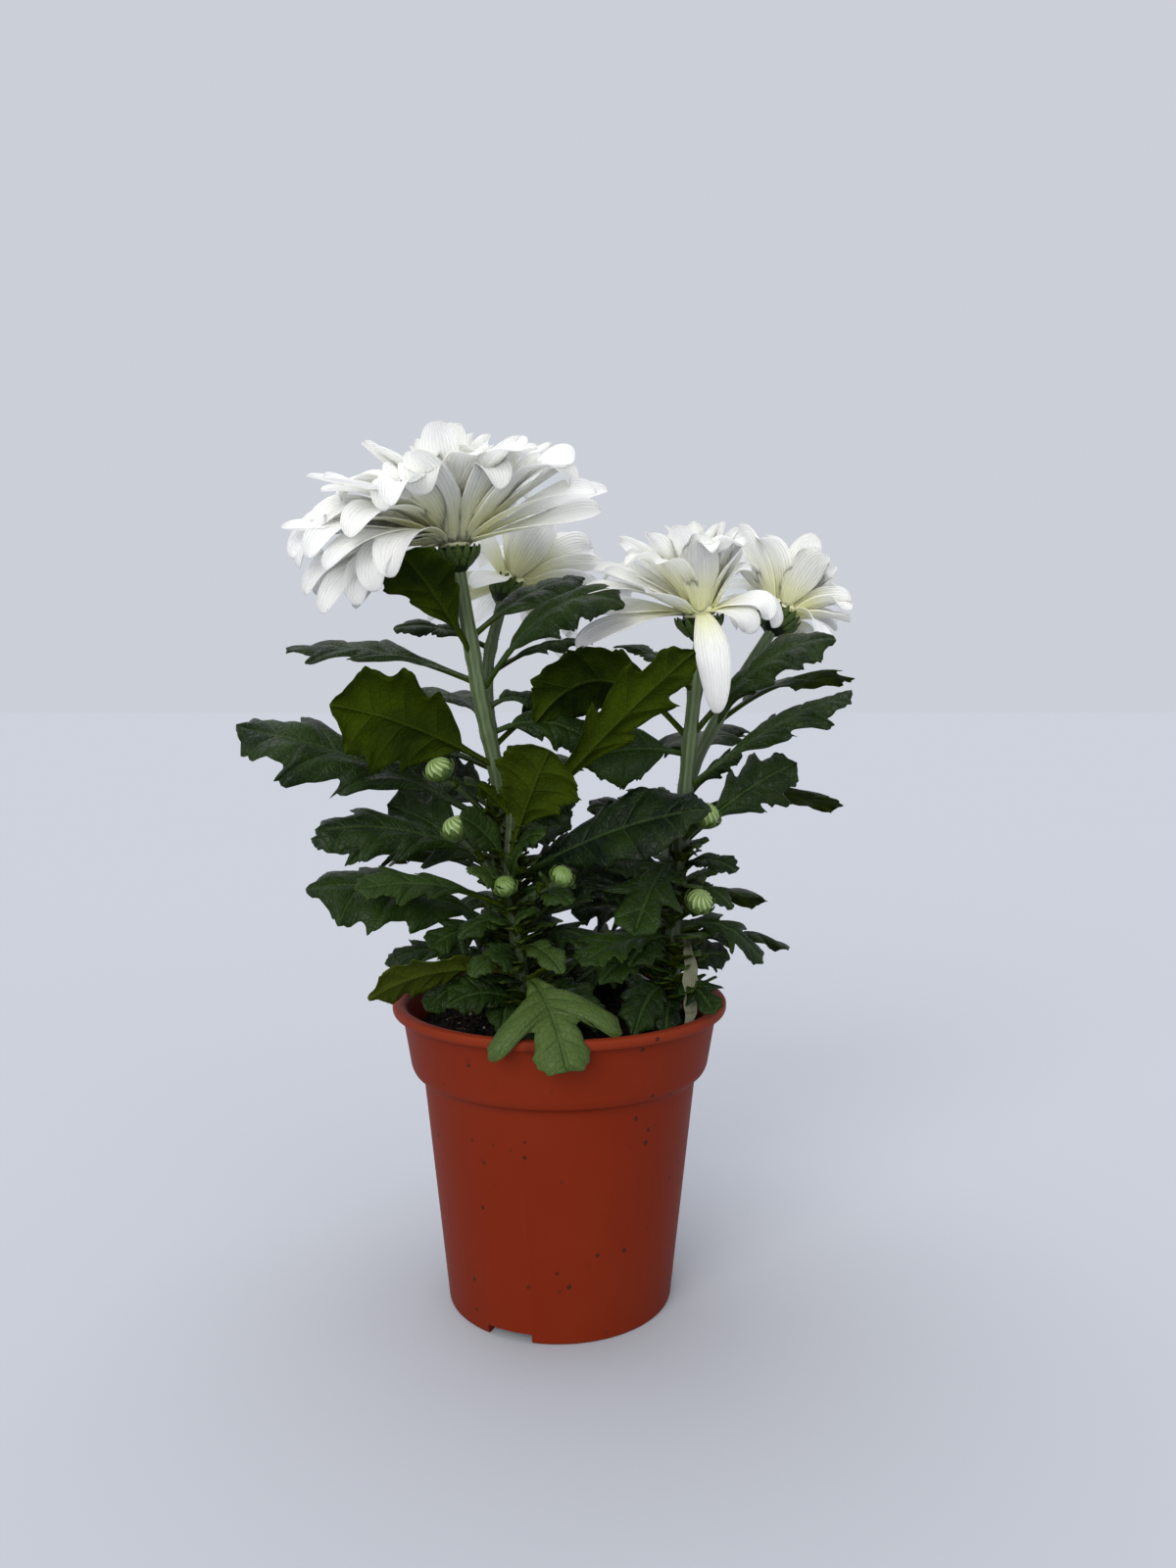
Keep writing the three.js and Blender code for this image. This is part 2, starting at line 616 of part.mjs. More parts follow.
/** A bud's stalk, with a small cup that its head sits in. */
function makeStalk(root, bud) {
  const head = vector(bud.head);
  const bend = root.clone().lerp(head, 0.6);
  bend.z += bud.arch;
  const way = stalkEnd(root, bud);
  const foot = head.clone().addScaledVector(way, -bud.radius);
  const curve = new THREE.QuadraticBezierCurve3(root, bend, foot.clone().addScaledVector(way, -1));
  const sepals = lathe([[0, -2.5], [bud.radius * 0.6, 0], [0, 0]], 6);
  sepals.applyQuaternion(turnTo(way)).translate(...foot.toArray());
  return [rod(curve, 1.1, 4, 3), solidOf(sepals)];
}

/** The way that a bud looks, along the end of its stalk. */
function stalkEnd(root, bud) {
  const along = vector(bud.head).sub(root).normalize();
  return along.add(new THREE.Vector3(0, 0, 0.6)).normalize();
}

/** A stem with everything green that grows from it, as one body. */
function makeLeafyStem(key, name) {
  const stem = STEMS[key];
  const curve = stemCurve(stem);
  const solids = [rod(curve, stem.radius, 6, 9)];
  LEAVES.forEach((leaf, count) => {
    if (leaf.stem === key) solids.push(makeLeaf(pointAt(curve, leaf.at), leaf, count));
  });
  for (const bud of BUDS.filter((one) => one.stem === key)) {
    solids.push(...makeStalk(pointAt(curve, bud.at), bud));
  }
  const bloom = BLOOMS.find((one) => one.stem === key);
  if (bloom) solids.push(makeCup(curve.getPoint(1), vector(bloom.axis)));
  return pieceOf(name, wasm.Manifold.union(solids), FINISH.leaf);
}

/**
 * One ray petal in its bloom's own frame: a cupped plate whose middle line climbs, bends along its length
 * and rolls over from PETAL.rolls on, and which is twisted about that line towards its tip.
 */
function makePetal({ bearing, rise, bend, curl, twist, reach, wide, root, out, inner }) {
  const radial = new THREE.Vector3(Math.cos(bearing), Math.sin(bearing), 0);
  const across = new THREE.Vector3(-Math.sin(bearing), Math.cos(bearing), 0);
  const widths = inner ? PETAL_SHAPES.innerWidths : PETAL_SHAPES.outerWidths;
  const turnAt = (share) => rise + bend * share + curl * THREE.MathUtils.smoothstep(share, PETAL.rolls, 1);
  const stations = [[0, PETAL.foot / wide], ...widths].map(([share, width]) => {
    const middle = radial.clone().multiplyScalar(out);
    middle.z = root;
    const step = share / PETAL.steps;
    for (let i = 0; i < PETAL.steps; i++) {
      const turn = turnAt((i + 0.5) * step);
      middle.addScaledVector(radial, reach * step * Math.cos(turn));
      middle.z += reach * step * Math.sin(turn);
    }
    const turn = turnAt(share);
    const upright = radial.clone().multiplyScalar(-Math.sin(turn));
    upright.z = Math.cos(turn);
    const [cosine, sine] = [Math.cos(twist * share), Math.sin(twist * share)];
    const side = across.clone().multiplyScalar(cosine).addScaledVector(upright, sine);
    const up = upright.multiplyScalar(cosine).addScaledVector(across, -sine);
    const half = (width * wide) / 2;
    const lift = up.clone().multiplyScalar(PETAL.cup * half);
    return {
      left: middle.clone().addScaledVector(side, half).add(lift),
      middle,
      right: middle.clone().addScaledVector(side, -half).add(lift),
      half: up.multiplyScalar(PETAL.thick / 2),
    };
  });
  return plate(stations);
}

/** The value of a line at a share of RING, straight between its places. */
function onRing(line, share) {
  const next = Math.max(1, RING.findIndex((place) => place >= share));
  const part = (share - RING[next - 1]) / (RING[next] - RING[next - 1]);
  return THREE.MathUtils.lerp(line[next - 1], line[next], part);
}

/** The petals of a bloom, spiralling in by the golden angle from the outer ring to the middle. */
function petalsOf(bloom, count) {
  const { degToRad, lerp } = THREE.MathUtils;
  const petals = [];
  for (let i = 0; i < bloom.petals; i++) {
    const inward = i / (bloom.petals - 1);
    const bearing = GOLDEN_ANGLE * i + STRAY.bearing * spread(i, count);
    const near = Math.max(0, Math.cos(bearing - degToRad(bloom.crowd)));
    const crowded = bloom.squeeze * near * (1 - inward);
    const facing = Math.max(0, Math.cos(bearing - degToRad(bloom.fan)));
    const lifted = facing ** 0.7 * (1 - inward) ** 1.5;
    const steeper = 50 * crowded + bloom.lift * lifted;
    const shorter = (1 - crowded) * (1 - 0.1 * lifted);
    const bend = onRing(bloom.bend, inward) * (1 - 0.6 * lifted) + STRAY.bend * spread(i, count + 20);
    petals.push({
      bearing,
      rise: degToRad(onRing(bloom.rise, inward) + steeper + STRAY.rise * spread(i, count + 10)),
      bend: degToRad(bend),
      curl: 0,
      twist: PETAL.turned * Math.cos(bearing) * (1 - inward),
      reach: bloom.reach * onRing(bloom.length, inward) * shorter * (1 + STRAY.reach * spread(i, count + 30)),
      wide: bloom.wide * (1 - 0.35 * inward + 0.15 * lifted),
      root: lerp(CUP.height + PETAL.low, CUP.height + CORE.height - 1, inward),
      out: lerp(CORE.radius - PETAL.sunk, 0.5, inward),
      inner: inward > PETAL_SHAPES.inner,
    });
  }
  for (const lone of LONE_PETALS[bloom.stem]) {
    const bearing = degToRad(lone.bearing);
    petals.push({
      ...lone,
      bearing,
      rise: degToRad(lone.rise),
      bend: degToRad(lone.bend),
      curl: degToRad(lone.curl),
      twist: 1.3 * PETAL.turned * Math.cos(bearing),
      root: CUP.height + PETAL.low,
      out: CORE.radius - PETAL.sunk,
    });
  }
  return petals;
}

/** A bloom: a small core, hidden by the layers of petals that are sunk into it. */
function makeBloom(bloom, count) {
  const { radius, height, edge } = CORE;
  const foot = CUP.height + GAP;
  const profile = [
    [0, foot],
    [radius - edge, foot],
    [radius, foot + 2 * edge],
    [radius - edge / 2, foot + 0.6 * height],
    [CORE.top, foot + height],
    [0, foot + height],
  ];
  const core = solidOf(lathe(profile, CORE.sides));
  const solids = [core, ...petalsOf(bloom, count).map(makePetal)];
  const piece = pieceOf(`bloom_${bloom.stem}`, wasm.Manifold.union(solids), FINISH.petal);
  piece.quaternion.copy(turnTo(vector(bloom.axis)));
  piece.position.copy(stemCurve(STEMS[bloom.stem]).getPoint(1));
  return piece;
}

/** A bud's head: a ribbed ball of closed petals with a flat foot in its cup. */
function makeBud(bud, count) {
  const { radius } = bud;
  const foot = GAP - radius;
  const profile = [
    [0, foot],
    [0.5 * radius, foot],
    [0.98 * radius, -0.2 * radius],
    [0.86 * radius, 0.5 * radius],
    [0.3 * radius, 0.86 * radius],
    [0, 0.8 * radius],
  ];
  const geometry = lathe(profile, 2 * BUD_RIBS.count);
  const places = geometry.getAttribute("position");
  for (let i = 0; i < places.count; i++) {
    const turn = Math.atan2(places.getY(i), places.getX(i));
    const rib = 1 + BUD_RIBS.depth * Math.cos(BUD_RIBS.count * turn);
    places.setXY(i, places.getX(i) * rib, places.getY(i) * rib);
  }
  const piece = pieceOf(`bud_${count + 1}`, solidOf(geometry), FINISH.bud);
  const root = pointAt(stemCurve(STEMS[bud.stem]), bud.at);
  piece.quaternion.copy(turnTo(stalkEnd(root, bud)));
  piece.position.set(...bud.head);
  return piece;
}

/** The dried leaf: a crumpled papery strip that hangs from beside stem C to the soil. */
function makeDriedLeaf() {
  const across = new THREE.Vector3(1, 0.2, 0).normalize();
  const half = new THREE.Vector3(0, -LEAF.thick / 2, 0);
  const stations = DRIED_LEAF.map(({ at, wide }) => {
    const middle = vector(at);
    return {
      left: middle.clone().addScaledVector(across, wide / 2).add(new THREE.Vector3(0, -1.2, 1)),
      middle,
      right: middle.clone().addScaledVector(across, -wide / 2).add(new THREE.Vector3(0, -0.8, 0)),
      half,
    };
  });
  return pieceOf("dried_leaf", plate(stations), FINISH.dried);
}

const plant = new THREE.Group();
plant.add(makePot(), makeSoil());
for (const key of ["a", "b", "c", "d"]) plant.add(makeLeafyStem(key, `leafy_stem_${key}`));
plant.add(makeLeafyStem("e", "side_shoot_e"), makeDriedLeaf());
BLOOMS.forEach((bloom, count) => plant.add(makeBloom(bloom, count)));
BUDS.forEach((bud, count) => plant.add(makeBud(bud, count)));

export default plant;
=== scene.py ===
"""A potted white chrysanthemum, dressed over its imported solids.

Every piece is worked out with numpy in millimetres, in the frame of the solids: the origin is on the pot's
axis at its foot, +Z is up and the front is -Y. Each piece stands for one solid, keeps its form, and adds
what is too fine for it: teeth and veins of leaves, grooved petals, bud scales, soil crumbs and hairs.
"""

import logging
import math
from dataclasses import dataclass, field
from enum import Enum

import bpy
import numpy as np
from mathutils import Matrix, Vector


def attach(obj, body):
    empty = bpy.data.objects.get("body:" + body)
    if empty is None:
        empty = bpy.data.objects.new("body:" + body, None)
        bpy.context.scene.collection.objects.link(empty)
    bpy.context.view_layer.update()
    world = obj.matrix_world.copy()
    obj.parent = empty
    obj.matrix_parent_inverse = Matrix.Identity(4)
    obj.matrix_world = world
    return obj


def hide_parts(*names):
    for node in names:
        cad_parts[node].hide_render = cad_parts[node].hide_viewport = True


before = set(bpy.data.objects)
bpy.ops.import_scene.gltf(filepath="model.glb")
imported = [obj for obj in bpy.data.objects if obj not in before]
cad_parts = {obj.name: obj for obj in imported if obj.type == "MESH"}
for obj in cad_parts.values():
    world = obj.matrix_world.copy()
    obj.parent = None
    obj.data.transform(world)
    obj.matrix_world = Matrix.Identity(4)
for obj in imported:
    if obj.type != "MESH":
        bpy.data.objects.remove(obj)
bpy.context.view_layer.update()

Array = np.ndarray
Values = dict[str, Array | float]
Point = tuple[float, float, float]
LOG = logging.getLogger("chrysanthemum")
MM = 0.001
GOLDEN_ANGLE = math.pi * (3 - math.sqrt(5))
UP = np.array([0.0, 0.0, 1.0])


# Shader expressions.


class Sock:
    """A shader socket that can be used in arithmetic, which adds Math nodes."""

    def __init__(self, paint: "Paint", socket: bpy.types.NodeSocket) -> None:
        """Wraps a socket of one material."""
        self.paint = paint
        self.socket = socket

    def _math(self, operation: str, *values: "Sock | float") -> "Sock":
        """One Math node over the given values."""
        return self.paint.node("ShaderNodeMath", {"operation": operation}, dict(enumerate(values)))

    def __add__(self, other: "Sock | float") -> "Sock":
        """The sum of two values."""
        return self._math("ADD", self, other)

    def __radd__(self, other: float) -> "Sock":
        """A number plus this value."""
        return self._math("ADD", other, self)

    def __sub__(self, other: "Sock | float") -> "Sock":
        """The difference of two values."""
        return self._math("SUBTRACT", self, other)

    def __rsub__(self, other: float) -> "Sock":
        """A number less this value."""
        return self._math("SUBTRACT", other, self)

    def __mul__(self, other: "Sock | float") -> "Sock":
        """The product of two values."""
        return self._math("MULTIPLY", self, other)

    def __rmul__(self, other: float) -> "Sock":
        """A number times this value."""
        return self._math("MULTIPLY", other, self)

    def __abs__(self) -> "Sock":
        """This value without its sign."""
        return self._math("ABSOLUTE", self)

    def fraction(self) -> "Sock":
        """What is left over a whole number."""
        return self._math("FRACT", self)

    def rise(self, low: float, high: float) -> "Sock":
        """A smooth step of this value.

        Args:
            low: where the step is 0.
            high: where the step is 1, which may be below low.

        Returns:
            The step, from 0 to 1.
        """
        settings = {"interpolation_type": "SMOOTHSTEP"}
        inputs = {"Value": self, "From Min": low, "From Max": high}
        return self.paint.node("ShaderNodeMapRange", settings, inputs)


class Paint:
    """A material that is built from expressions."""

    def __init__(self, name: str) -> None:
        """Starts an empty material with object coordinates ready for its patterns.

        Args:
            name: the material's name.
        """
        self.material = bpy.data.materials.new(name)
        self.material.use_nodes = True
        self.tree = self.material.node_tree
        self.tree.nodes.clear()
        self.place = self.node("ShaderNodeTexCoord", output="Object")

    def node(
        self,
        kind: str,
        settings: dict[str, object] | None = None,
        inputs: dict[int | str, object] | None = None,
        output: int | str = 0,
    ) -> Sock:
        """Adds any node.

        Args:
            kind: the node's Blender type.
            settings: its properties, set first.
            inputs: values or sockets for its inputs.
            output: the output to hand back.

        Returns:
            The chosen output.
        """
        made = self.tree.nodes.new(kind)
        for key, value in (settings or {}).items():
            setattr(made, key, value)
        for key, value in (inputs or {}).items():
            target = made.inputs[key]
            if isinstance(value, Sock):
                self.tree.links.new(value.socket, target)
            elif isinstance(value, tuple) and target.type == "RGBA":
                target.default_value = (*value, 1)
            else:
                target.default_value = value
        return Sock(self, made.outputs[output])

    def value(self, name: str) -> Sock:
        """The point value of that name which the mesh carries."""
        return self.node("ShaderNodeAttribute", {"attribute_name": name}, output="Fac")

    def height(self) -> Sock:
        """How high a point lies, in metres."""
        return self.node("ShaderNodeSeparateXYZ", {}, {"Vector": self.place}, "Z")

    def noise(self, scale: float, detail: float = 3, stretch: Point = (1, 1, 1)) -> Sock:
        """Cloudy noise over the object.

        Args:
            scale: how many cells there are to a metre.
            detail: how many finer layers are added.
            stretch: how each axis is squeezed before the noise is read.

        Returns:
            The noise, about 0.5 in the middle.
        """
        squeezed = self.node("ShaderNodeMapping", {}, {"Vector": self.place, "Scale": stretch})
        return self.node("ShaderNodeTexNoise", {}, {"Vector": squeezed, "Scale": scale, "Detail": detail})

    def cells(self, scale: float, feature: str = "F1") -> Sock:
        """The distance to the nearest of many scattered points."""
        settings = {"feature": feature}
        return self.node("ShaderNodeTexVoronoi", settings, {"Vector": self.place, "Scale": scale}, "Distance")

    def mix(self, share: "Sock | float", low: object, high: object) -> Sock:
        """A blend of two colours.

        Args:
            share: how much of the second colour shows.
            low: the first colour.
            high: the second colour.

        Returns:
            The blended colour.
        """
        return self.node("ShaderNodeMix", {"data_type": "RGBA"}, {0: share, 6: low, 7: high}, 2)

    def done(
        self, colour: object, rough: object, height: Sock | None, depth: float, **fixed: object
    ) -> bpy.types.Material:
        """Joins the parts into a surface.

        Args:
            colour: the base colour.
            rough: the roughness.
            height: what the surface's fine relief follows, if it has any.
            depth: the depth of that relief in metres.
            fixed: other values of the surface, with spaces as underscores.

        Returns:
            The finished material.
        """
        inputs: dict[int | str, object] = {"Base Color": colour, "Roughness": rough}
        if height is not None:
            inputs["Normal"] = self.node("ShaderNodeBump", {}, {"Height": height, "Distance": depth})
        inputs |= {key.replace("_", " "): value for key, value in fixed.items()}
        shader = self.node("ShaderNodeBsdfPrincipled", {}, inputs)
        self.node_output(shader)
        return self.material

    def node_output(self, shader: Sock) -> None:
        """Sends a shader to the material's output."""
        output = self.tree.nodes.new("ShaderNodeOutputMaterial")
        self.tree.links.new(shader.socket, output.inputs["Surface"])


# Finishes.


@dataclass(frozen=True)
class LeafFinish:
    """One side of a leaf: its two greens, its veins, and how dull it is."""

    name: str
    dark: Point
    fresh: Point
    pale: Point
    vein: Point
    vein_share: float
    rough: float
    shine: float
    sunk: float
    relief: float = 0.0005

    def build(self) -> bpy.types.Material:
        """Mottles the leaf and draws its veins from the leaf's own values.

        Returns:
            The material.
        """
        paint = Paint(self.name)
        tone, ladder = paint.value("tone"), paint.value("vein_place")
        off_rib, near_edge = paint.value("off_rib"), paint.value("near_edge")
        side = abs((ladder + 0.5).fraction() - 0.5)
        branch = side.rise(0.04, 0.006) * (1 - near_edge * 0.8)
        fine = abs((ladder * 4 + paint.noise(110, 2) * 1.3).fraction() - 0.5).rise(0.1, 0.0)
        rib = off_rib.rise(1.0, 0.3)
        veins = paint.node("ShaderNodeMath", {"operation": "MAXIMUM"}, {0: rib, 1: branch})
        mottle, cloud = paint.noise(90, 4), paint.noise(26, 2)
        share = mottle.rise(0.35, 0.7) * 0.5 + tone * 0.5 + cloud.rise(0.4, 0.65) * 0.35
        colour = paint.mix(share, self.dark, self.fresh)
        colour = paint.mix(tone.rise(0.8, 1.8), colour, self.pale)
        colour = paint.mix((veins + fine * 0.25) * self.vein_share, colour, self.vein)
        net = paint.cells(420, "DISTANCE_TO_EDGE").rise(0.0, 0.12)
        height = net * 0.3 + mottle * 0.6 - (veins + fine * 0.3) * self.sunk
        rough = self.rough + mottle * 0.14
        return paint.done(colour, rough, height, self.relief, Specular_IOR_Level=self.shine)


LEAF_TOP = LeafFinish(
    "leaf_top",
    dark=(0.0008, 0.0045, 0.0005),
    fresh=(0.013, 0.031, 0.002),
    pale=(0.05, 0.082, 0.018),
    vein=(0.04, 0.075, 0.02),
    vein_share=0.36,
    rough=0.36,
    shine=0.14,
    sunk=0.7,
)
# The underside's olive is partly its own paler green and partly painted light, for light that shines through
# the leaf.
LEAF_UNDER = LeafFinish(
    "leaf_under",
    dark=(0.005, 0.012, 0.001),
    fresh=(0.026, 0.043, 0.001),
    pale=(0.04, 0.056, 0.005),
    vein=(0.04, 0.06, 0.006),
    vein_share=0.28,
    rough=0.6,
    shine=0.03,
    sunk=-0.7,
)


@dataclass(frozen=True)
class StemFinish:
    """Ridged green stem, paler along its ridges and darker low down, where shade is painted under the
    foliage.
    """

    dark: Point = (0.026, 0.05, 0.014)
    pale: Point = (0.1, 0.14, 0.05)
    # Painted shade: the dark green that the stem is given low down, under the foliage.
    low: Point = (0.012, 0.024, 0.004)

    def build(self) -> bpy.types.Material:
        """Streaks the stem lengthways, lightens its ridges and paints shade on it low down.

        Returns:
            The material.
        """
        paint = Paint("stem_skin")
        ridge = paint.value("near_edge")
        height = paint.height()
        streak = paint.noise(900, 3, (1, 1, 0.06))
        colour = paint.mix(ridge * 0.6 + streak.rise(0.35, 0.7) * 0.35, self.dark, self.pale)
        # Painted shade: the stem is darkened below the foliage.
        colour = paint.mix(height.rise(0.212, 0.165) * 0.8, colour, self.low)
        return paint.done(colour, 0.5 + streak * 0.2, streak, 0.00015)


@dataclass(frozen=True)
class PetalFinish:
    """Soft white petal, cream and yellow-green at its foot and warmer grey below, with painted shade along
    its grooves.
    """

    white: Point = (0.98, 0.98, 0.95)
    below: Point = (0.94, 0.94, 0.85)
    foot: Point = (0.82, 0.82, 0.34)
    groove_shade: Point = (0.86, 0.86, 0.75)

    def build(self) -> bpy.types.Material:
        """Shades the petal along its length and draws its lengthwise grooves in relief and in painted shade.

        Returns:
            The material.
        """
        paint = Paint("ray_petal")
        along, across = paint.value("along"), paint.value("across")
        upper, tone = paint.value("upper"), paint.value("tone")
        lines = abs((across * 5.5 + paint.noise(60, 2) * 0.5).fraction() - 0.5)
        fine = abs((across * 17 + paint.noise(120, 2)).fraction() - 0.5)
        colour = paint.mix(upper, self.below, self.white)
        # Painted shade: the grooves are darkened in the colour, more on the underside than on top.
        rib = lines.rise(0.14, 0.0) * (0.75 - upper * 0.4) + fine.rise(0.2, 0.0) * 0.12
        colour = paint.mix(rib, colour, self.groove_shade)
        colour = paint.mix((along + tone * 0.15 - (1 - upper) * 0.2).rise(0.6, 0.05) * 0.8, colour, self.foot)
        height = lines.rise(0.0, 0.3) + fine * 0.35
        return paint.done(
            colour,
            0.55,
            height,
            0.00018,
            Subsurface_Weight=0.75,
            Subsurface_Radius=(1, 1, 1),
            Subsurface_Scale=0.0024,
            Specular_IOR_Level=0.3,
        )


@dataclass(frozen=True)
class BudFinish:
    """Closed bud: pale green, whitish on the ribs of its folded petals."""

    green: Point = (0.09, 0.16, 0.025)
    white: Point = (0.34, 0.42, 0.18)

    def build(self) -> bpy.types.Material:
        """Lightens the ribs and the top of the bud.

        Returns:
            The material.
        """
        paint = Paint("bud_petal")
        along, ridge = paint.value("along"), paint.value("across")
        cloud = paint.noise(500, 3)
        light = ridge.rise(0.35, 1.0) * (0.45 + along * 0.55) + cloud * 0.1
        colour = paint.mix(light, self.green, self.white)
        return paint.done(
            colour,
            0.5,
            cloud,
            0.0001,
            Subsurface_Weight=0.15,
            Subsurface_Radius=(1, 1, 1),
            Subsurface_Scale=0.001,
        )


@dataclass(frozen=True)
class DriedFinish:
    """Dry papery beige leaf."""

    pale: Point = (0.135, 0.14, 0.088)
    brown: Point = (0.08, 0.07, 0.035)

    def build(self) -> bpy.types.Material:
        """Mottles the leaf and draws its withered veins.

        Returns:
            The material.
        """
        paint = Paint("papery_leaf")
        across = paint.value("across")
        cloud = paint.noise(160, 5)
        lines = abs((across * 4 + paint.noise(90, 2)).fraction() - 0.5).rise(0.15, 0.0)
        colour = paint.mix(cloud.rise(0.4, 0.75) * 0.6 + lines * 0.35, self.pale, self.brown)
        return paint.done(colour, 0.85, cloud + lines * 0.4, 0.0004)


@dataclass(frozen=True)
class PotFinish:
    """Matt terracotta-coloured plastic with scuffs, a bloom of dust and smears of soil, and a paler lip that
    is painted light.
    """

    clay: Point = (0.145, 0.0135, 0.0024)
    dust_and_lip_light: Point = (0.195, 0.028, 0.009)
    soil: Point = (0.03, 0.012, 0.006)

    def build(self) -> bpy.types.Material:
        """Adds cloudy dust, a paler lip that is painted light, long scuffs, and soil specks and smears.

        Returns:
            The material.
        """
        paint = Paint("pot_plastic")
        height = paint.height()
        cloud = paint.noise(22, 5)
        scuff = paint.noise(240, 4, (1, 1, 0.12)).rise(0.62, 0.8)
        # Painted light: the lip is mixed towards the paler colour, as if more light falls on it than on the
        # wall.
        lip = height.rise(0.1035, 0.1085)
        colour = paint.mix(cloud.rise(0.35, 0.8) * 0.22 + lip * 0.5 + scuff * 0.12, self.clay, self.dust_and_lip_light)
        speck = paint.cells(190).rise(0.2, 0.13) * paint.noise(60, 2).rise(0.52, 0.58)
        smear = paint.noise(70, 5, (1, 1, 0.5)).rise(0.66, 0.78) * 0.4
        colour = paint.mix(speck * 0.9 + smear * height.rise(0.05, 0.12), colour, self.soil)
        rough = 0.46 + cloud * 0.16 + smear * 0.2
        grain = paint.noise(2600, 2) * 0.5 + scuff * 0.3 + paint.noise(30, 2) * 2
        return paint.done(colour, rough, grain, 0.00006, Specular_IOR_Level=0.07)


@dataclass(frozen=True)
class SoilFinish:
    """Damp dark potting mix."""

    name: str = "potting_mix"
    dark: Point = (0.0012, 0.0008, 0.0007)
    brown: Point = (0.016, 0.0095, 0.006)
    rough: float = 0.85

    def build(self) -> bpy.types.Material:
        """Mixes two browns in grains.

        Returns:
            The material.
        """
        paint = Paint(self.name)
        grain = paint.noise(700, 5)
        lumps = paint.cells(330)
        colour = paint.mix(grain.rise(0.42, 0.7), self.dark, self.brown)
        return paint.done(colour, self.rough, grain + lumps, 0.0011, Specular_IOR_Level=0.12)


# Surfaces.


def unit(vectors: Array) -> Array:
    """Vectors at length one: each over its own length."""
    return vectors / np.maximum(np.linalg.norm(vectors, axis=-1, keepdims=True), 1e-9)


def polar(turn: Array | float, reach: Array | float = 1.0, height: Array | float = 0.0) -> Array:
    """Points at a bearing, a distance from the axis and a height: (r cos t, r sin t, z)."""
    return np.stack(np.broadcast_arrays(reach * np.cos(turn), reach * np.sin(turn), height), -1)


def spread(first: Array | float, second: float) -> Array | float:
    """A number from -1 to 1 that depends on two counts: twice the fraction of a large sine, less one."""
    value = np.sin(np.asarray(first) * 12.9898 + second * 78.233) * 43758.5453
    return 2 * (value - np.floor(value)) - 1


def ease(values: Array, low: float, high: float) -> Array:
    """A smooth step from 0 at low to 1 at high: 3x^2 - 2x^3 of the clipped share."""
    share = np.clip((values - low) / (high - low), 0, 1)
    return share * share * (3 - 2 * share)


def spline(knots: Array, places: Array) -> Array:
    """A Catmull-Rom curve through knots, with its end tangents from knots mirrored past the ends.

    Args:
        knots: the points, one to a row.
        places: where the curve is read, in knots from 0 to the last.

    Returns:
        One row for each place.
    """
    padded = np.vstack([2 * knots[0] - knots[1], knots, 2 * knots[-1] - knots[-2]])
    first = np.clip(np.floor(places).astype(int), 0, len(knots) - 2)
    share = (places - first)[:, None]
    before, start, end, after = (padded[first + i] for i in range(4))
    leave, arrive = (end - before) / 2, (after - start) / 2
    square, cube = share**2, share**3
    return (
        start * (2 * cube - 3 * square + 1)
        + leave * (cube - 2 * square + share)
        + end * (3 * square - 2 * cube)
        + arrive * (cube - square)
    )


def bezier(ends: tuple[Array, Array, Array], places: Array) -> tuple[Array, Array]:
    """A quadratic Bezier curve: (1-t)^2 a + 2t(1-t) b + t^2 c.

    Args:
        ends: its start, its pull and its end.
        places: where it is read, from 0 to 1.

    Returns:
        The points and the unit tangents.
    """
    start, pull, end = ends
    t = places[..., None]
    points = (1 - t) ** 2 * start + 2 * t * (1 - t) * pull + t**2 * end
    slopes = (1 - t) * (pull - start) + t * (end - pull)
    return points, unit(slopes)


def turn_to(axis: Array) -> Array:
    """The shortest turn that brings +Z to an axis: I + K + K^2 / (1 + z).

    Args:
        axis: where +Z goes.

    Returns:
        The turn, as a matrix.
    """
    x, y, z = unit(np.asarray(axis, float))
    cross = np.array([[0, 0, x], [0, 0, y], [-x, -y, 0]])
    return np.eye(3) + cross + cross @ cross / (1 + z)


def ripples(points: Array, size: float, seed: int) -> Array:
    """Smooth random relief from -1 to 1: the mean of sines that run across the points in random directions.

    Args:
        points: where it is read, in mm.
        size: about how wide a lump is, in mm.
        seed: which of the patterns it is.

    Returns:
        One height for each point.
    """
    rng = np.random.default_rng(seed)
    ways = unit(rng.normal(size=(9, 3))) * rng.uniform(0.7, 1.6, (9, 1)) * math.pi / size
    phases = rng.uniform(0, 2 * math.pi, 9)
    return np.sin(points @ ways.T + phases).mean(-1) * 1.8


def shell_faces(rows: int, columns: int) -> Array:
    """The faces of a closed thin shell between an upper and a lower grid, with a wall round the edge.

    Args:
        rows: the rows of each grid.
        columns: the columns of each grid.

    Returns:
        Four corners for each face, those of the upper grid first.
    """
    index = np.arange(rows * columns).reshape(rows, columns)
    a, b, c, d = index[:-1, :-1], index[:-1, 1:], index[1:, 1:], index[1:, :-1]
    top = np.stack((a, d, c, b), -1).reshape(-1, 4)
    bottom = np.stack((a, b, c, d), -1).reshape(-1, 4) + rows * columns
    rim = np.concatenate((index[0, :-1], index[:-1, -1], index[-1, :0:-1], index[:0:-1, 0]))
    after = np.roll(rim, -1)
    wall = np.stack((rim, after, after + rows * columns, rim + rows * columns), -1)
    return np.concatenate((top, bottom, wall))


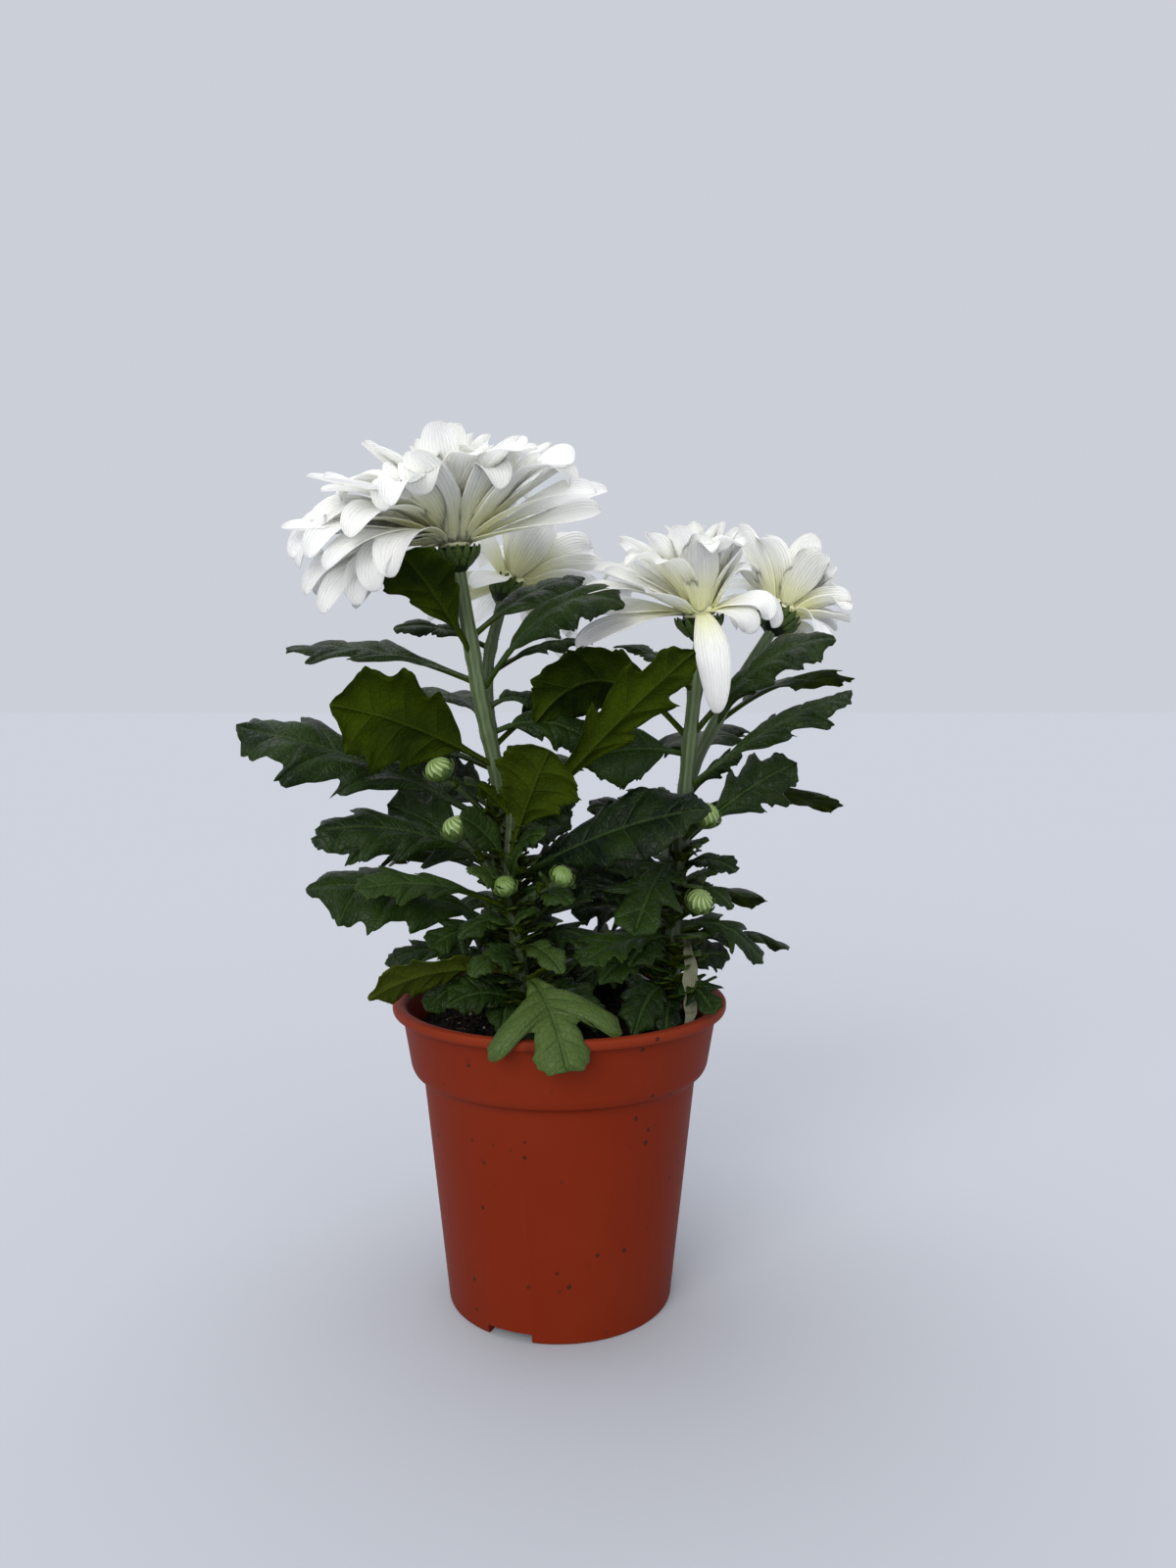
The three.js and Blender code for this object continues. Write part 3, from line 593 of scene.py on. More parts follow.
def ring_faces(rows: int, columns: int) -> tuple[Array, Array]:
    """The faces of rings that close round a path, with a fan at each end to the two points after them.

    Args:
        rows: how many rings there are.
        columns: the points round a ring.

    Returns:
        The four-sided faces, and the three-sided ones of the fans.
    """
    index = np.arange(rows * columns).reshape(rows, columns)
    after = np.roll(index, -1, axis=1)
    sides = np.stack((index[:-1], after[:-1], after[1:], index[1:]), -1).reshape(-1, 4)
    low, high = np.full(columns, rows * columns), np.full(columns, rows * columns + 1)
    first, last = np.stack((after[0], index[0], low), -1), np.stack((index[-1], after[-1], high), -1)
    return sides, np.concatenate((first, last))


def put(name: str, data: bpy.types.ID) -> bpy.types.Object:
    """Puts data into the scene as an object.

    Args:
        name: the object's name.
        data: its mesh, light or camera.

    Returns:
        The object.
    """
    made = bpy.data.objects.new(name, data)
    bpy.context.scene.collection.objects.link(made)
    return made


@dataclass
class Skin:
    """Surfaces that become one piece, with the values that its finishes read at each point."""

    points: list[Array] = field(default_factory=list)
    quads: list[Array] = field(default_factory=list)
    fans: list[Array] = field(default_factory=list)
    quad_paints: list[Array] = field(default_factory=list)
    fan_paints: list[Array] = field(default_factory=list)
    values: dict[str, list[Array]] = field(default_factory=dict)
    count: int = 0

    def add(self, points: Array, quads: Array, fans: Array | None, paint: int, values: Values) -> None:
        """Adds one closed surface and turns it the right way out by the sign of its volume.

        Args:
            points: its points in mm.
            quads: its four-sided faces.
            fans: its three-sided faces, if any.
            paint: which of the piece's materials it has.
            values: numbers for each point, or one for all. A value that is left out is 0.
        """
        points = points.reshape(-1, 3)
        fans = np.zeros((0, 3), int) if fans is None else fans
        corners = np.concatenate((quads[:, [0, 1, 2]], quads[:, [0, 2, 3]], fans))
        a, b, c = (points[corners[:, i]] - points[0] for i in range(3))
        if np.einsum("ij,ij->", a, np.cross(b, c)) < 0:
            quads, fans = quads[:, ::-1], fans[:, ::-1]
        self.points.append(points)
        self.quads.append(quads + self.count)
        self.fans.append(fans + self.count)
        self.quad_paints.append(np.full(len(quads), paint))
        self.fan_paints.append(np.full(len(fans), paint))
        for name, numbers in values.items():
            filled = np.broadcast_to(np.asarray(numbers, float).ravel(), len(points))
            self.values.setdefault(name, [np.zeros(self.count)]).append(filled)
        for lists in self.values.values():
            short = self.count + len(points) - sum(map(len, lists))
            lists.append(np.zeros(short))
        self.count += len(points)

    def shell(
        self, upper: Array, lower: Array, paint: int, values: Values, under: int | None = None
    ) -> None:
        """Adds a thin closed shell between two grids.

        Args:
            upper: the upper grid, in mm.
            lower: the lower grid.
            paint: which of the piece's materials it has.
            values: numbers for one grid. The value "upper" is added, 1 above and 0 below.
            under: the material of its lower side, if that differs.
        """
        rows, columns = shape = upper.shape[:2]
        doubled = {name: np.tile(np.broadcast_to(v, shape).ravel(), 2) for name, v in values.items()}
        doubled["upper"] = np.repeat([1.0, 0.0], rows * columns)
        both = np.concatenate((upper.reshape(-1, 3), lower.reshape(-1, 3)))
        self.add(both, shell_faces(rows, columns), None, paint, doubled)
        if under is not None:
            self.quad_paints[-1][(rows - 1) * (columns - 1) :] = under

    def rings(self, grid: Array, ends: tuple[Array, Array], paint: int, values: Values) -> None:
        """Adds rings that close round a path, ended by two points.

        Args:
            grid: the rings, one to a row, in mm.
            ends: the points that close the first and the last ring.
            paint: which of the piece's materials it has.
            values: numbers for the grid. An end takes the mean of its ring.
        """
        rows, columns = grid.shape[:2]
        quads, fans = ring_faces(rows, columns)
        padded = {}
        for name, numbers in values.items():
            flat = np.broadcast_to(numbers, (rows, columns))
            padded[name] = np.concatenate((flat.ravel(), [flat[0].mean(), flat[-1].mean()]))
        self.add(np.vstack((grid.reshape(-1, 3), *ends)), quads, fans, paint, padded)

    def build(
        self, name: str, materials: list[bpy.types.Material], node: str | None, slot: str
    ) -> bpy.types.Object:
        """Makes the piece, places it on its body and hides the solid that it stands for.

        Args:
            name: the piece's name.
            materials: its finishes.
            node: the solid that it stands for, if any.
            slot: not used.

        Returns:
            The piece.
        """
        quads, fans = np.concatenate(self.quads), np.concatenate(self.fans)
        mesh = bpy.data.meshes.new(name)
        mesh.vertices.add(self.count)
        mesh.vertices.foreach_set("co", (np.concatenate(self.points) * MM).astype(np.float32).ravel())
        mesh.loops.add(quads.size + fans.size)
        mesh.loops.foreach_set("vertex_index", np.concatenate((quads.ravel(), fans.ravel())).astype(np.int32))
        mesh.polygons.add(len(quads) + len(fans))
        starts = np.concatenate((np.arange(len(quads)) * 4, quads.size + np.arange(len(fans)) * 3))
        mesh.polygons.foreach_set("loop_start", starts.astype(np.int32))
        mesh.update(calc_edges=True)
        for material in materials:
            mesh.materials.append(material)
        paints = np.concatenate(self.quad_paints + self.fan_paints).astype(np.int32)
        mesh.polygons.foreach_set("material_index", paints)
        mesh.shade_smooth()
        for label, lists in self.values.items():
            layer = mesh.attributes.new(label, "FLOAT", "POINT")
            layer.data.foreach_set("value", np.concatenate(lists).astype(np.float32))
        piece = put(name, mesh)
        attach(piece, "root")
        if node is not None:
            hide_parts(node)
        LOG.info("%s: %d triangles", name, 2 * len(quads) + len(fans))
        return piece


def tube(
    skin: Skin,
    path: Array,
    radius: Array,
    paint: int,
    sides: int = 12,
    ridges: int = 0,
    depth: float = 0.0,
) -> None:
    """Adds a rod with a ridged outline: radius * (1 + depth * cos(ridges * turn)) round each point of a path.

    Args:
        skin: what it is added to.
        path: the points of its axis, in mm.
        radius: its radius at each point, in mm.
        paint: which of the piece's materials it has.
        sides: how many points there are round it.
        ridges: how many lengthwise ridges it has.
        depth: how high they are, as a share of the radius.
    """
    along = unit(np.gradient(path, axis=0))
    level = np.array([0.0, 1.0, 0.0]) if abs(along[len(along) // 2, 1]) < 0.8 else np.array([1.0, 0.0, 0.0])
    left = unit(np.cross(level, along))
    front = np.cross(along, left)
    turn = np.linspace(0, 2 * math.pi, sides, endpoint=False)
    wave = np.cos(ridges * turn)
    reach = (radius[:, None] * (1 + depth * wave))[..., None]
    outward = np.cos(turn)[:, None] * left[:, None] + np.sin(turn)[:, None] * front[:, None]
    grid = path[:, None] + reach * outward
    skin.rings(grid, (path[0], path[-1]), paint, {"near_edge": 0.5 + 0.5 * wave})


def revolve(
    skin: Skin,
    profile: Array,
    sides: int,
    values: Values | None = None,
    turn: Array | None = None,
    centre: Array | float = 0.0,
) -> None:
    """Adds a lathed solid in the piece's first material: each point of a profile goes round an axis.

    Args:
        skin: what it is added to.
        profile: radius and height of each point. The first and the last lie on the axis.
        sides: how many points there are round it.
        values: numbers for the whole solid, if any.
        turn: the turn of the axis, as a matrix, if it isn't upright.
        centre: where a turned profile's heights start.
    """
    around = np.linspace(0, 2 * math.pi, sides, endpoint=False)
    grid, ends = polar(around, profile[1:-1, :1], profile[1:-1, 1:]), profile[[0, -1], 1:] * UP
    if turn is not None:
        grid, ends = grid @ turn.T + centre, ends @ turn.T + centre
    skin.rings(grid, tuple(ends), 0, values or {})


def rounded(corners: list[tuple[float, float, float]], steps: int = 4) -> Array:
    """A profile whose corners are rounded: each corner becomes a quadratic curve that starts and ends within
    its own radius of it.

    Args:
        corners: radius, height and rounding of each corner.
        steps: how many points stand for a rounded corner.

    Returns:
        The profile's points.
    """
    places = np.array([corner[:2] for corner in corners], float)
    made = [places[:1]]
    for i in range(1, len(corners) - 1):
        before, here, after = places[i - 1], places[i], places[i + 1]
        limit = min(np.linalg.norm(before - here), np.linalg.norm(after - here)) / 2
        cut = min(corners[i][2], limit)
        start, end = here + unit(before - here) * cut, here + unit(after - here) * cut
        made.append(bezier((start, here, end), np.linspace(0, 1, steps))[0])
    return np.concatenate((*made, places[-1:]))


# The plant's plan.


class Form(Enum):
    """Half outlines of a leaf blade: the place on the midrib, then the place and reach of the edge that its
    side vein runs to, as shares of the blade's length."""

    BROAD = (
        (0, 0, 0.03), (0.05, 0.08, 0.12), (0.17, 0.31, 0.28), (0.26, 0.37, 0.23),
        (0.4, 0.58, 0.35), (0.5, 0.65, 0.27), (0.64, 0.82, 0.27), (0.78, 0.88, 0.16), (1, 1, 0),
    )  # fmt: skip
    FAN = (
        (0, 0, 0.03), (0.06, 0.11, 0.09), (0.19, 0.35, 0.27), (0.28, 0.43, 0.27),
        (0.42, 0.62, 0.4), (0.52, 0.71, 0.36), (0.66, 0.87, 0.33), (0.8, 0.96, 0.2), (1, 1, 0),
    )  # fmt: skip
    OVAL = (
        (0, 0, 0.03), (0.05, 0.08, 0.12), (0.17, 0.3, 0.27), (0.26, 0.38, 0.28),
        (0.42, 0.56, 0.33), (0.5, 0.64, 0.3), (0.68, 0.83, 0.21), (0.78, 0.89, 0.14), (1, 1, 0),
    )  # fmt: skip
    DEEP = (
        (0, 0, 0.03), (0.06, 0.1, 0.08), (0.16, 0.33, 0.31), (0.26, 0.35, 0.14),
        (0.42, 0.66, 0.38), (0.52, 0.64, 0.17), (0.74, 0.9, 0.2), (1, 1, 0),
    )  # fmt: skip
    SLIM = (
        (0, 0, 0.03), (0.1, 0.16, 0.06), (0.25, 0.42, 0.19), (0.34, 0.44, 0.13),
        (0.5, 0.7, 0.23), (0.6, 0.71, 0.14), (0.78, 0.9, 0.12), (1, 1, 0),
    )  # fmt: skip
    FINGERS = (
        (0, 0, 0.04), (0.12, 0.16, 0.08), (0.22, 0.26, 0.12), (0.3, 0.42, 0.3), (0.36, 0.6, 0.42),
        (0.41, 0.74, 0.46), (0.45, 0.78, 0.38), (0.49, 0.7, 0.26), (0.54, 0.64, 0.15), (0.64, 0.76, 0.16),
        (0.76, 0.88, 0.18), (0.87, 0.96, 0.15), (0.95, 1, 0.08), (1, 1, 0),
    )  # fmt: skip
    YOUNG = ((0, 0, 0.05), (0.14, 0.26, 0.25), (0.34, 0.44, 0.15), (0.52, 0.7, 0.25), (1, 1, 0))


BROAD, FAN, OVAL, DEEP, SLIM = Form.BROAD, Form.FAN, Form.OVAL, Form.DEEP, Form.SLIM
FINGERS, YOUNG = Form.FINGERS, Form.YOUNG

# Stems: radius, and the points that each runs through.
STEMS: dict[str, tuple[float, list[Point]]] = {
    "a": (2.9, [
        (-16, -14, 78), (-16, -14, 110), (-17, -14, 150), (-21, -14, 187), (-26.5, -16, 215), (-34, -18, 260),
    ]),
    "b": (2.5, [
        (-15, 16, 78), (-15, 16, 110), (-20, 18, 160), (-26, 22, 200), (-28, 28, 228), (-23, 36, 254),
    ]),
    "c": (2.7, [
        (39, -12, 78), (39, -12, 110), (41.5, -12, 150), (44.5, -12, 190), (47, -13, 218), (49, -14, 237),
    ]),
    "d": (2.4, [(37, 18, 78), (37, 18, 110), (41, 18, 148), (48, 18, 186), (64, 21, 218), (79, 22, 242)]),
    "e": (2.1, [(-10, -26, 80), (-10, -26, 105), (-14, -27, 135), (-16, -28, 160), (-15, -28, 178)]),
}  # fmt: skip


@dataclass(frozen=True)
class Leaf:
    """A leaf: its stem, the height of its foot, its tip, how far its midrib arches up, where its upper side
    looks, its form and breadth, and its tone: 0 or less is dark, 1 is fresh and 2 is pale."""

    stem: str
    foot: float
    tip: Point
    arch: float
    face: Point
    form: Form
    wide: float
    tone: float = 0.4


# The leaves of the solids come first, and the small inner and young ones after them.
LEAVES = [
    Leaf("a", 231, (-49, -44, 262), 3, (0.2, 1, 0.3), FAN, 0.9, 0.1),
    Leaf("a", 222, (-97, 0, 233), 7, (0, -0.5, 1), SLIM, 1.1),
    Leaf("a", 193, (-73, -42, 214), 4, (0, 1, 0.2), BROAD, 1.05, 0.6),
    Leaf("a", 171, (-108, -26, 206), 7, (0, -0.45, 1), SLIM, 1.15),
    Leaf("a", 158, (-80, -34, 172), 8, (0, -0.5, 1), SLIM, 1.2, 0.8),
    Leaf("a", 150, (-62, 2, 178), 6, (0.3, -0.9, 0.4), DEEP, 1),
    Leaf("a", 135, (-83, -36, 153), 9, (0, -0.5, 1), BROAD, 0.9, 0.7),
    Leaf("a", 121, (-60, -18, 124), 9, (0, -0.4, 1), SLIM, 1, 0.2),
    Leaf("a", 237, (9, 0, 259), 6, (0, -0.5, 1), OVAL, 1.0),
    Leaf("a", 218, (22, -33, 246), 20, (0, -0.6, 0.8), BROAD, 0.8),
    Leaf("a", 212, (-2, 8, 205), 12, (0, -0.6, 0.8), BROAD, 0.85, 0.1),
    Leaf("b", 190, (-83, 14, 196), 9, (0, -0.5, 1), BROAD, 0.9, 0.2),
    Leaf("b", 172, (-62, 44, 184), 8, (0, -0.8, 0.6), BROAD, 1, 0),
    Leaf("b", 148, (-93, 16, 163), 8, (0, -0.3, 1), SLIM, 1),
    Leaf("b", 226, (12, 20, 237), 6, (0, -0.4, 1), SLIM, 1),
    Leaf("b", 236, (-64, 30, 243), 5, (0, -0.4, 1), YOUNG, 0.8),
    Leaf("b", 205, (-56, 84, 216), 10, (0, 0.2, 1), BROAD, 1),
    Leaf("b", 180, (-8, 96, 186), 10, (0, 0.3, 1), BROAD, 1),
    Leaf("b", 158, (-66, 72, 148), 12, (0, 0.3, 1), DEEP, 1),
    Leaf("b", 132, (-30, 84, 126), 12, (0, 0.3, 1), BROAD, 1, 0.7),
    Leaf("c", 202, (-8, -12, 208), 26, (0, 0.6, 0.8), OVAL, 1.1, 0.1),
    Leaf("c", 197, (7, -27, 195), 4, (0, -0.9, 0.5), OVAL, 1.05, 0.7),
    Leaf("c", 222, (20, 4, 235), 4, (0, -0.4, 1), YOUNG, 1),
    Leaf("c", 219, (33, -27, 226), 2, (0, -0.5, 1), YOUNG, 1),
    Leaf("c", 203, (94, -22, 236), 12, (0, -0.5, 1), BROAD, 0.7, 0.6),
    Leaf("c", 185, (102, -12, 218), 5, (0, -0.5, 1), SLIM, 1),
    Leaf("c", 165, (85, 0, 193), 4, (0.1, -0.8, 0.7), SLIM, 1.2, 0.6),
    Leaf("c", 160, (25, -48, 140), 9, (0, -0.6, 0.8), DEEP, 1, 0.8),
    Leaf("c", 158, (60, -28, 158), 4, (0, -0.5, 1), YOUNG, 1),
    Leaf("c", 150, (60, -20, 144), 5, (0, -0.6, 1), YOUNG, 1),
    Leaf("c", 131, (8, -50, 131), 6, (0, -0.5, 1), SLIM, 1, 0.8),
    Leaf("c", 134, (71, -16, 124), 12, (0, -0.5, 1), DEEP, 0.9),
    Leaf("c", 114, (25, -41, 105), 10, (0, -0.8, 0.6), BROAD, 0.8, 0),
    Leaf("c", 110, (36, -37, 103.5), 7, (0, -0.8, 0.6), YOUNG, 1, 0.1),
    Leaf("d", 204, (78, 4, 230), 5, (0, -0.7, 0.7), SLIM, 1),
    Leaf("d", 178, (66, 4, 196), 4, (0, -0.7, 0.7), SLIM, 1),
    Leaf("d", 208, (112, 58, 222), 10, (0, 0.2, 1), BROAD, 1),
    Leaf("d", 190, (62, 92, 200), 10, (0, 0.3, 1), BROAD, 1),
    Leaf("d", 172, (106, 40, 172), 12, (0.1, 0.2, 1), DEEP, 1),
    Leaf("d", 152, (32, 92, 158), 10, (0, 0.3, 1), BROAD, 1),
    Leaf("d", 136, (78, 62, 130), 12, (0.2, 0.3, 1), BROAD, 1),
    Leaf("d", 120, (86, 18, 122), 10, (0.2, 0, 1), DEEP, 1),
    Leaf("e", 164, (-2, -50, 200), 2, (0, 1, 0.3), FAN, 1.05, 0.9),
    Leaf("e", 170, (44, -48, 231), 3, (-0.5, 0.9, 0.5), SLIM, 0.75, 0.7),
    # This leaf's tone of -0.6 is painted shade: its colour is made darker than its own green.
    Leaf("e", 155, (49, -54, 181), 6, (0, -0.7, 0.7), OVAL, 0.8, -0.6),
    Leaf("e", 134, (24, -15, 168), 3, (-0.2, -0.8, 0.6), BROAD, 0.85, 0),
    Leaf("e", 146, (-64, -50, 155), 6, (0, -0.3, 1), SLIM, 1, 0.8),
    Leaf("e", 124, (-61, -46, 119), 7, (0, 0.6, 0.8), BROAD, 0.9, 2),
    Leaf("e", 122, (4, -68, 102), 12, (0, -0.8, 0.7), FINGERS, 1.2, 2),
    Leaf("e", 116, (13, -42, 107), 9, (0, -0.8, 0.6), BROAD, 0.9, 0.3),
    Leaf("e", 150, (5, -44, 150), 5, (0, -0.6, 0.8), YOUNG, 1, 1),
    Leaf("e", 140, (-32, -42, 138), 5, (0, -0.6, 0.8), YOUNG, 1, 1),
    Leaf("e", 128, (-28, -44, 126), 5, (0, -0.6, 0.8), YOUNG, 1, 1),
    Leaf("e", 132, (2, -44, 127), 5, (0, -0.6, 0.8), YOUNG, 1, 1),
    Leaf("e", 176, (-14, -36, 192), 0, (0, 0.8, 0.4), YOUNG, 1, 0.9),
    Leaf("e", 177, (-26, -34, 188), 0, (0.4, 0.8, 0.3), YOUNG, 1, 0.9),
    Leaf("b", 198, (28, 4, 216), 16, (0, 0.6, 0.8), BROAD, 1.0, 0),
    Leaf("a", 204, (12, -6, 200), 9, (0, -0.8, 0.6), BROAD, 0.9, 0.2),
    Leaf("a", 146, (14, -8, 164), 8, (0, -0.7, 0.7), BROAD, 0.8, 0),
    Leaf("a", 126, (12, -28, 133), 9, (0, -0.7, 0.7), DEEP, 0.9, 0.3),
    Leaf("a", 116, (-44, -34, 112), 9, (0, -0.6, 0.8), DEEP, 0.8, 0.2),
    Leaf("a", 112, (-18, -42, 106), 8, (0, -0.8, 0.6), YOUNG, 1.1, 0.6),
    Leaf("b", 140, (20, 12, 152), 9, (0, -0.7, 0.7), BROAD, 0.9, 0),
    Leaf("b", 118, (16, 2, 122), 10, (0, -0.7, 0.7), DEEP, 1, 0),
    Leaf("c", 142, (10, -24, 150), 8, (0, -0.7, 0.7), BROAD, 0.9, 0),
    Leaf("c", 122, (6, -22, 118), 9, (0, -0.7, 0.7), DEEP, 0.9, 0),
    Leaf("d", 160, (10, 4, 176), 8, (0, -0.7, 0.7), BROAD, 0.9, 0),
    Leaf("d", 128, (4, 16, 136), 9, (0, -0.7, 0.7), DEEP, 1, 0),
    Leaf("d", 112, (12, 0, 112), 10, (0, -0.7, 0.7), BROAD, 0.9, 0),
    Leaf("a", 152, (6, -32, 153), 7, (0, -0.8, 0.6), BROAD, 0.8, 0.5),
    Leaf("a", 132, (-42, -38, 134), 7, (0, -0.8, 0.6), DEEP, 0.9, 0.6),
    Leaf("a", 166, (6, -28, 181), 5, (0, -0.8, 0.6), SLIM, 1.1, 0.3),
    Leaf("c", 150, (16, -36, 160), 7, (0, -0.8, 0.6), BROAD, 0.8, 0.3),
    Leaf("c", 128, (14, -34, 121), 7, (0, -0.8, 0.6), BROAD, 0.8, 0.6),
    Leaf("c", 176, (22, -34, 180), 5, (0, -0.8, 0.6), BROAD, 0.8, 0.2),
    Leaf("e", 112, (-36, -44, 116), 6, (0, -0.8, 0.6), BROAD, 0.8, 0.5),
    Leaf("b", 156, (4, -6, 170), 7, (0, -0.8, 0.6), BROAD, 0.9, 0.1),
    Leaf("c", 116, (52, -38, 112), 6, (0, -0.8, 0.6), DEEP, 0.8, 0.3),
    Leaf("b", 112, (4, 34, 117), 8, (0, -0.8, 0.6), BROAD, 1, 0),
    Leaf("c", 120, (20, -4, 125), 6, (0, -0.8, 0.6), BROAD, 1.1, 0),
    Leaf("a", 118, (12, -14, 124), 6, (0, -0.8, 0.6), DEEP, 1.1, 0.1),
    Leaf("c", 132, (24, -34, 127), 6, (0, -0.8, 0.6), BROAD, 1, 0.5),
    Leaf("c", 118, (62, 2, 122), 6, (0, -0.8, 0.6), BROAD, 0.9, 0),
    Leaf("d", 109, (2, 36, 106), 5, (0, -0.9, 0.4), BROAD, 1.2, -0.2),
    Leaf("b", 109, (36, 46, 105), 5, (0, -0.9, 0.4), BROAD, 1.2, -0.2),
    Leaf("d", 114, (16, 32, 119), 8, (0, -0.8, 0.6), BROAD, 1, 0),
    Leaf("d", 116, (54, 34, 118), 8, (0, -0.8, 0.6), BROAD, 1, 0),
    Leaf("e", 160, (-31, -44, 178), 3, (0, -0.8, 0.6), YOUNG, 1, 1),
    Leaf("e", 150, (-27, -46, 160), 3, (0, -0.8, 0.6), YOUNG, 1.1, 1.2),
    Leaf("e", 164, (-4, -44, 172), 3, (0, -0.8, 0.6), YOUNG, 1, 0.8),
    Leaf("e", 154, (-12, -46, 166), 2, (0, -0.9, 0.4), YOUNG, 1.1, 1.1),
    Leaf("e", 138, (-10, -46, 146), 2, (0, -0.9, 0.4), BROAD, 0.9, 0.9),
    Leaf("e", 126, (-20, -48, 132), 3, (0, -0.9, 0.4), BROAD, 0.9, 0.7),
    Leaf("e", 118, (-2, -46, 116), 4, (0, -0.9, 0.5), BROAD, 0.9, 0.9),
    Leaf("a", 176, (-30, -34, 188), 3, (0, -0.8, 0.6), YOUNG, 1.1, 0.5),
    Leaf("c", 168, (30, -30, 176), 3, (0, -0.8, 0.6), YOUNG, 1.1, 0.7),
    Leaf("c", 144, (36, -34, 152), 3, (0, -0.8, 0.6), YOUNG, 1.1, 0.9),
]

# Buds: stem, height of the stalk's foot, middle of the head, its radius, and the stalk's arch.
BUDS: list[tuple[str, float, Point, float, float]] = [
    ("a", 168, (-39, -34, 193), 4.4, 3),
    ("e", 150, (-33, -37, 174), 4.5, 0),
    ("e", 144, (-17, -39, 155), 3.6, -1),
    ("e", 146, (2, -51, 160), 3.4, 0),
    ("c", 166, (50, -25, 177), 4.6, 0),
    ("c", 139, (48, -27, 148), 4.4, 0),
    ("a", 180, (-13, -3, 194), 3.8, 0),
]


@dataclass(frozen=True)
class Ray:
    """One ray petal: angles in radians, lengths in mm. It is rooted at the height `root`, `out` from the
    middle. Bend and curl turn it along its length, roll is how far its edges turn in, twist turns it
    about its length and sway turns it sideways. Its tip rounds off from the share `blunt` of its
    length."""

    bearing: float
    rise: float
    bend: float
    reach: float
    wide: float
    root: float
    out: float
    seed: float
    curl: float
    roll: float
    twist: float
    blunt: float
    sway: float = 0.0


# How far in a petal is rooted, from the outer ring to the middle, where its angles and length are given.
RING = (0, 0.35, 0.7, 1)


@dataclass(frozen=True)
class Bloom:
    """A bloom: the way it looks, and its petals from the outer ring, which spreads, to the middle ones,
    which stand. Between two petals of the solid there are `extra` - 1 more. A side that is crowded by a
    neighbour has shorter and steeper petals. On the side of its fan the outer petals are lifted and
    straighter, so their undersides show, and the petals at both sides are turned to the front."""

    stem: str
    count: int
    axis: Point
    petals: int
    reach: float
    wide: float
    crowd: float
    squeeze: float
    fan: float = 270.0
    lift: float = 0.0
    turned: float = 0.55
    rise: tuple[float, ...] = (26, 55, 72, 86)
    bend: tuple[float, ...] = (-48, -72, -50, -8)
    length: tuple[float, ...] = (1, 0.88, 0.68, 0.45)
    cup_height: float = 7.0
    extra: int = 2
    blunt: float = 0.72

    def rays(self) -> list[Ray]:
        """All its petals: those of the spiral, then the lone ones."""
        spiral = [self.spiral_ray(step) for step in range(self.extra * (self.petals - 1) + 1)]
        return spiral + [self.lone_ray(number) for number in range(len(LONE_PETALS[self.stem]))]

    def spiral_ray(self, step: int) -> Ray:
        """One petal of the spiral, which turns by the golden angle from one petal of the solid to the next.

        Args:
            step: how many petals lie outside it.

        Returns:
            The petal.
        """
        i = step / self.extra
        inward = i / (self.petals - 1)
        bearing = GOLDEN_ANGLE * i + 0.14 * spread(i, self.count)
        crowded = self.squeeze * max(0.0, math.cos(bearing - math.radians(self.crowd))) * (1 - inward)
        rise, bend, length = (np.interp(inward, RING, line) for line in (self.rise, self.bend, self.length))
        lifted = max(0.0, math.cos(bearing - math.radians(self.fan))) ** 0.7 * (1 - inward) ** 1.5
        rolled = spread(i, self.count + 80) > 0.35 and inward < 0.6
        reach = self.reach * length * (1 + 0.08 * spread(i, self.count + 30)) * (1 - crowded)
        return Ray(
            bearing=bearing,
            rise=math.radians(rise + 5 * spread(i, self.count + 10) + 50 * crowded + self.lift * lifted),
            bend=math.radians(bend * (1 - 0.6 * lifted) + 9 * spread(i, self.count + 20)),
            reach=reach * (1 - 0.1 * lifted),
            wide=self.wide * (1 - 0.35 * inward + 0.15 * lifted),
            root=self.cup_height + 1 + 8 * inward,
            out=5.2 * (1 - inward) + 0.5 * inward,
            seed=step + 0.37 * self.count,
            curl=math.radians(25 * spread(i, self.count + 40) - 75 * rolled),
            roll=0.55 + 0.25 * spread(i, self.count + 50) + 0.3 * inward,
            twist=0.35 * spread(i, self.count + 60) + self.turned * math.cos(bearing) * (1 - inward),
            blunt=self.blunt,
            sway=0.14 * spread(i, self.count + 70),
        )

    def lone_ray(self, number: int) -> Ray:
        """One petal that stands apart from the spiral.

        Args:
            number: its place in the bloom's list.

        Returns:
            The petal.
        """
        bearing, rise, bend, reach, wide, curl, blunt = LONE_PETALS[self.stem][number]
        turn = math.radians(bearing)
        return Ray(
            bearing=turn,
            rise=math.radians(rise),
            bend=math.radians(bend),
            reach=reach,
            wide=wide,
            root=self.cup_height + 1.5,
            out=5,
            seed=100 + number,
            curl=math.radians(curl),
            roll=0.5,
            twist=1.3 * self.turned * math.cos(turn),
            blunt=blunt,
        )


